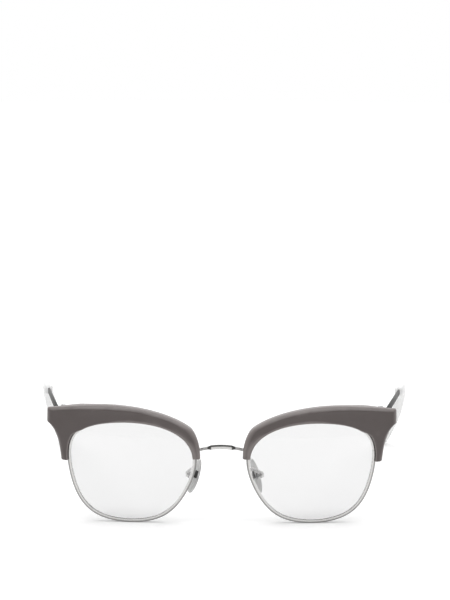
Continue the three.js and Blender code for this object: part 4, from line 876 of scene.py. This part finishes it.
def brow_acetate():
    """Warm dark grey sheet acetate: faint cloudy depth, painted light in its thin edge and a painted
    highlight on its crown, and a satin polish with rubbing marks."""
    finish, tree, shader, place = new_finish("brow_acetate")
    # The tone adds painted light in the thin edge and a painted highlight on the crown; the noise adds
    # the cloudy depth.
    depth = toned(tree, grain(tree, place, 140, detail=4), 0.5)
    tint(tree, shader, depth, [
        (0.15, colour("453b39")), (0.35, colour("4a403e")), (1.3 / 1.5, colour("7f7775"))])
    roughen(tree, shader, grain(tree, place, 900, (1, 1, 3), 2), 0.32, 0.42)
    relief(tree, shader, grain(tree, place, 3000, detail=1), 0.05, 0.00005)
    set_inputs(shader, {"IOR": 1.48, "Specular IOR Level": 0.8})
    return finish


def polish(tree, shader, place):
    """Metal with fine polish marks in its roughness and relief."""
    roughen(tree, shader, grain(tree, place, 1500, detail=2), 0.18, 0.28)
    shader.inputs["Metallic"].default_value = 1.0
    relief(tree, shader, grain(tree, place, 5000, detail=1), 0.04, 0.00003)


def silver_plate():
    """Bright silver plating with slight cloudiness and fine polish marks."""
    finish, tree, shader, place = new_finish("silver_plate")
    cloud = grain(tree, place, 260, detail=3)
    tint(tree, shader, cloud, [(0.3, (0.7, 0.695, 0.69)), (0.7, (0.8, 0.795, 0.79))])
    polish(tree, shader, place)
    return finish


def silver_with_painted_shade():
    """The same plating, darkened where the piece's tone is low: painted reflection and shade on the
    eyewire and bridge.
    """
    finish, tree, shader, place = new_finish("silver_with_painted_shade")
    # The tone carries painted reflection and shade on the eyewire and bridge.
    cloud = toned(tree, grain(tree, place, 260, detail=3), 0.16)
    tint(tree, shader, cloud, [
        (0.06, (0.05, 0.049, 0.047)), (0.5, (0.32, 0.315, 0.31)), (1.0, (0.6, 0.593, 0.582))])
    polish(tree, shader, place)
    return finish


def brushed_strip():
    """Steel strip brushed along its length under a dark satin lacquer; on the temple, painted shade
    from the tone darkens it towards the hinge.
    """
    finish, tree, shader, place = new_finish("brushed_strip")
    streak = grain(tree, place, 40, (60, 1, 60), 4)
    tint(tree, shader, toned(tree, streak, 0.2), [
        (0.08, (0.012, 0.012, 0.012)), (0.55, (0.09, 0.089, 0.087)), (1.0, (0.17, 0.169, 0.166))])
    roughen(tree, shader, streak, 0.58, 0.72)
    set_inputs(shader, {"Metallic": 0.15, "Specular IOR Level": 0.15})
    relief(tree, shader, streak, 0.06, 0.00004)
    return finish


def turned_steel():
    """Small turned and stamped steel parts."""
    finish, tree, shader, place = new_finish("turned_steel")
    cloud = grain(tree, place, 900, detail=3)
    tint(tree, shader, cloud, [(0.3, (0.27, 0.27, 0.27)), (0.7, (0.38, 0.376, 0.372))])
    roughen(tree, shader, cloud, 0.22, 0.36)
    shader.inputs["Metallic"].default_value = 1.0
    relief(tree, shader, grain(tree, place, 4000, detail=1), 0.05, 0.00003)
    return finish


def tip_acetate():
    """Polished off-white acetate, milky in its depth, with a faint cloud."""
    finish, tree, shader, place = new_finish("tip_acetate")
    cloud = grain(tree, place, 110, detail=3)
    tint(tree, shader, cloud, [(0.3, colour("f4f4f3")), (0.7, colour("f9f9f8"))])
    roughen(tree, shader, grain(tree, place, 1800, detail=2), 0.26, 0.32)
    relief(tree, shader, grain(tree, place, 4000, detail=1), 0.03, 0.00003)
    set_inputs(shader, {
        "IOR": 1.48, "Subsurface Weight": 0.7, "Subsurface Scale": 0.004,
        "Subsurface Radius": (1.0, 1.0, 1.0)})
    return finish


def pad_silicone():
    """Soft pale silicone, slightly see-through, with a satin skin and a painted shade line in its edge.
    """
    finish, tree, shader, place = new_finish("pad_silicone")
    # The tone paints a dark shade line round the pad's edge.
    cloud = toned(tree, grain(tree, place, 300, detail=3), 0.2)
    tint(tree, shader, cloud, [
        (0.05, colour("6f6e6d")), (0.6, colour("e6e6e5")), (1.0, colour("f0f0ef"))])
    roughen(tree, shader, grain(tree, place, 1600, detail=2), 0.38, 0.5)
    relief(tree, shader, grain(tree, place, 4000, detail=1), 0.06, 0.00004)
    set_inputs(shader, {"IOR": 1.41, "Transmission Weight": 0.45})
    return finish


def clear_lens():
    """Clear coated lens with the faintest smoke in it."""
    finish, tree, shader, place = new_finish("clear_lens")
    cloud = grain(tree, place, 18, detail=1)
    tint(tree, shader, cloud, [(0.3, (0.76, 0.76, 0.761)), (0.7, (0.78, 0.779, 0.78))])
    set_inputs(shader, {"Roughness": 0.0, "IOR": 1.5, "Transmission Weight": 1.0})
    return finish


# Build


def dress():
    """Both halves and the bridge, each piece on its body in place of its CAD node."""
    acetate, silver, plated = brow_acetate(), silver_plate(), silver_with_painted_shade()
    strip, steel = brushed_strip(), turned_steel()
    pale, silicone, clear = tip_acetate(), pad_silicone(), clear_lens()
    wire, tone = bridge()
    make_piece("bridge_wire", wire, 1, plated, "front", ["bridge"], tone)
    for side, sign in SIDES:
        def add(name, solids, finish, body="front", tone=None):
            nodes = [f"{name}_{side}"]
            make_piece(f"{name}_skin_{side}", solids, sign, finish, body, nodes, tone)
        temple_body, pad_body = f"temple_{side}_body", f"pad_{side}_body"
        wire, tone = eyewire()
        add("eyewire", wire, plated, tone=tone)
        add("rim_lock_screw", lock_screw(), steel)
        add("lens", lens(), clear)
        bar, tone = brow()
        add("brow", bar, acetate, tone=tone)
        for number, station in enumerate(EAR_STATIONS, 1):
            add(f"brow_screw_{number}", brow_screw(station), steel)
        add("hinge_leaf", hinge_leaf(), steel)
        for number, pitches in enumerate(PLATE_SCREW_PLACES, 1):
            add(f"hinge_plate_screw_{number}", hinge_plate_screw(pitches), steel)
        add("hinge_screw", hinge_screw(), steel)
        arm, tone = temple()
        add("temple", arm, strip, temple_body, tone)
        add("temple_tip", temple_tip(), pale, temple_body)
        pad, tone = nose_pad(sign)
        add("nose_pad", pad, silicone, pad_body, tone)
        plate, tone = pad_clip(sign)
        make_piece(f"pad_clip_{side}", plate, sign, strip, pad_body, [], tone)
        add("pad_box", pad_box(sign), silver)
        add("pad_screw", pad_screw(sign), steel)
        add("pad_arm", pad_arm(sign), silver)


def seen_rays(tree):
    """1 for camera, glossy and transmission rays, else 0."""
    rays = tree.nodes.new("ShaderNodeLightPath").outputs
    seen = combined(tree, "MAXIMUM", rays["Is Camera Ray"], rays["Is Glossy Ray"])
    return combined(tree, "MAXIMUM", seen, rays["Is Transmission Ray"])


def table():
    """Wide round table in a pale colour that keeps the shadow. For seen rays a glow lifts it to white,
    and grows away from the part, where the lamps fall off."""
    rim = turned_rod([1600.0, 1600.0, 1598.0], [-8.0, -2.0, 0.0], 180) * MM
    quads, ends = ring_faces(*rim.shape[:2])
    mesh = bpy.data.meshes.new("floor")
    mesh.from_pydata(rim.reshape(-1, 3).tolist(), [], quads.tolist() + [e.tolist() for e in ends])
    floor = placed("floor", mesh)
    finish, tree, shader, place = new_finish("pale_floor")
    set_inputs(shader, {
        "Base Color": (0.88, 0.88, 0.88, 1), "Roughness": 1.0, "Specular IOR Level": 0.0})
    reach = tree.nodes.new("ShaderNodeVectorMath")
    reach.operation = "LENGTH"
    tree.links.new(place, reach.inputs[0])
    lift = mapped(tree, reach.outputs["Value"], 0.3, 1.6, 0.28, 0.72)
    glow = tree.nodes.new("ShaderNodeEmission")
    tree.links.new(combined(tree, "MULTIPLY", seen_rays(tree), lift), glow.inputs["Strength"])
    both = tree.nodes.new("ShaderNodeAddShader")
    tree.links.new(shader.outputs["BSDF"], both.inputs[0])
    tree.links.new(glow.outputs["Emission"], both.inputs[1])
    tree.links.new(both.outputs["Shader"], tree.nodes["Material Output"].inputs["Surface"])
    mesh.materials.append(finish)


def surroundings():
    """Even white world: dim as light, and for seen rays white at the sides and darker overhead."""
    world = bpy.data.worlds.new("studio")
    world.use_nodes = True
    bpy.context.scene.world = world
    tree = world.node_tree
    sky = tree.nodes["Background"]
    sky.inputs["Color"].default_value = (1, 1, 1, 1)
    direction = tree.nodes.new("ShaderNodeSeparateXYZ")
    around = tree.nodes.new("ShaderNodeTexCoord").outputs["Generated"]
    tree.links.new(around, direction.inputs["Vector"])
    ceiling = mapped(tree, direction.outputs["Z"], 0.45, 0.7, 1.0, 0.3)
    level = mapped(tree, seen_rays(tree), 0.0, 1.0, 0.34, 1.0)
    tree.links.new(ceiling, level.node.inputs["To Max"])
    tree.links.new(level, sky.inputs["Strength"])


def soft_lamp(name, place, width, height, power):
    """Rectangular soft lamp at a place, turned to the origin."""
    lamp = bpy.data.lights.new(name, "AREA")
    lamp.shape = "RECTANGLE"
    lamp.size, lamp.size_y, lamp.energy = width, height, power
    holder = placed(name, lamp)
    holder.location = place
    towards = Vector((0, 0, 0)) - Vector(place)
    holder.rotation_euler = towards.to_track_quat("-Z", "Y").to_euler()


def studio():
    """Table, world and three soft lamps."""
    table()
    surroundings()
    soft_lamp("overhead", (0.0, 0.0, 1.1), 1.7, 1.1, 11.2)
    soft_lamp("behind", (0.0, 1.3, 0.62), 2.2, 0.8, 2.6)
    soft_lamp("front", (0.0, -1.6, 0.9), 2.4, 1.0, 4.0)


def camera():
    """Camera a metre away, 14 degrees up and nearly square on, aimed above the frame as in the
    photograph, with a slight roll."""
    turn, lift, roll, distance = math.radians(0.6), math.radians(14), math.radians(0.18), 1.0
    front = Vector((0, FRONT_Y * MM, 0.022))
    level = math.cos(lift)
    back = Vector((math.sin(turn) * level, -math.cos(turn) * level, math.sin(lift)))
    optics = bpy.data.cameras.new("photo_view")
    optics.lens, optics.sensor_width = 152.2, 36.0
    view = placed("photo_view", optics)
    view.location = front + back * distance
    aim = front + Vector((0.0012, 0, 0.0675))
    turned = (aim - view.location).to_track_quat("-Z", "Y").to_euler()
    turned.rotate_axis("Z", roll)
    view.rotation_euler = turned
    bpy.context.scene.camera = view


dress()
studio()
camera()
bpy.context.scene.view_settings.view_transform = "Standard"
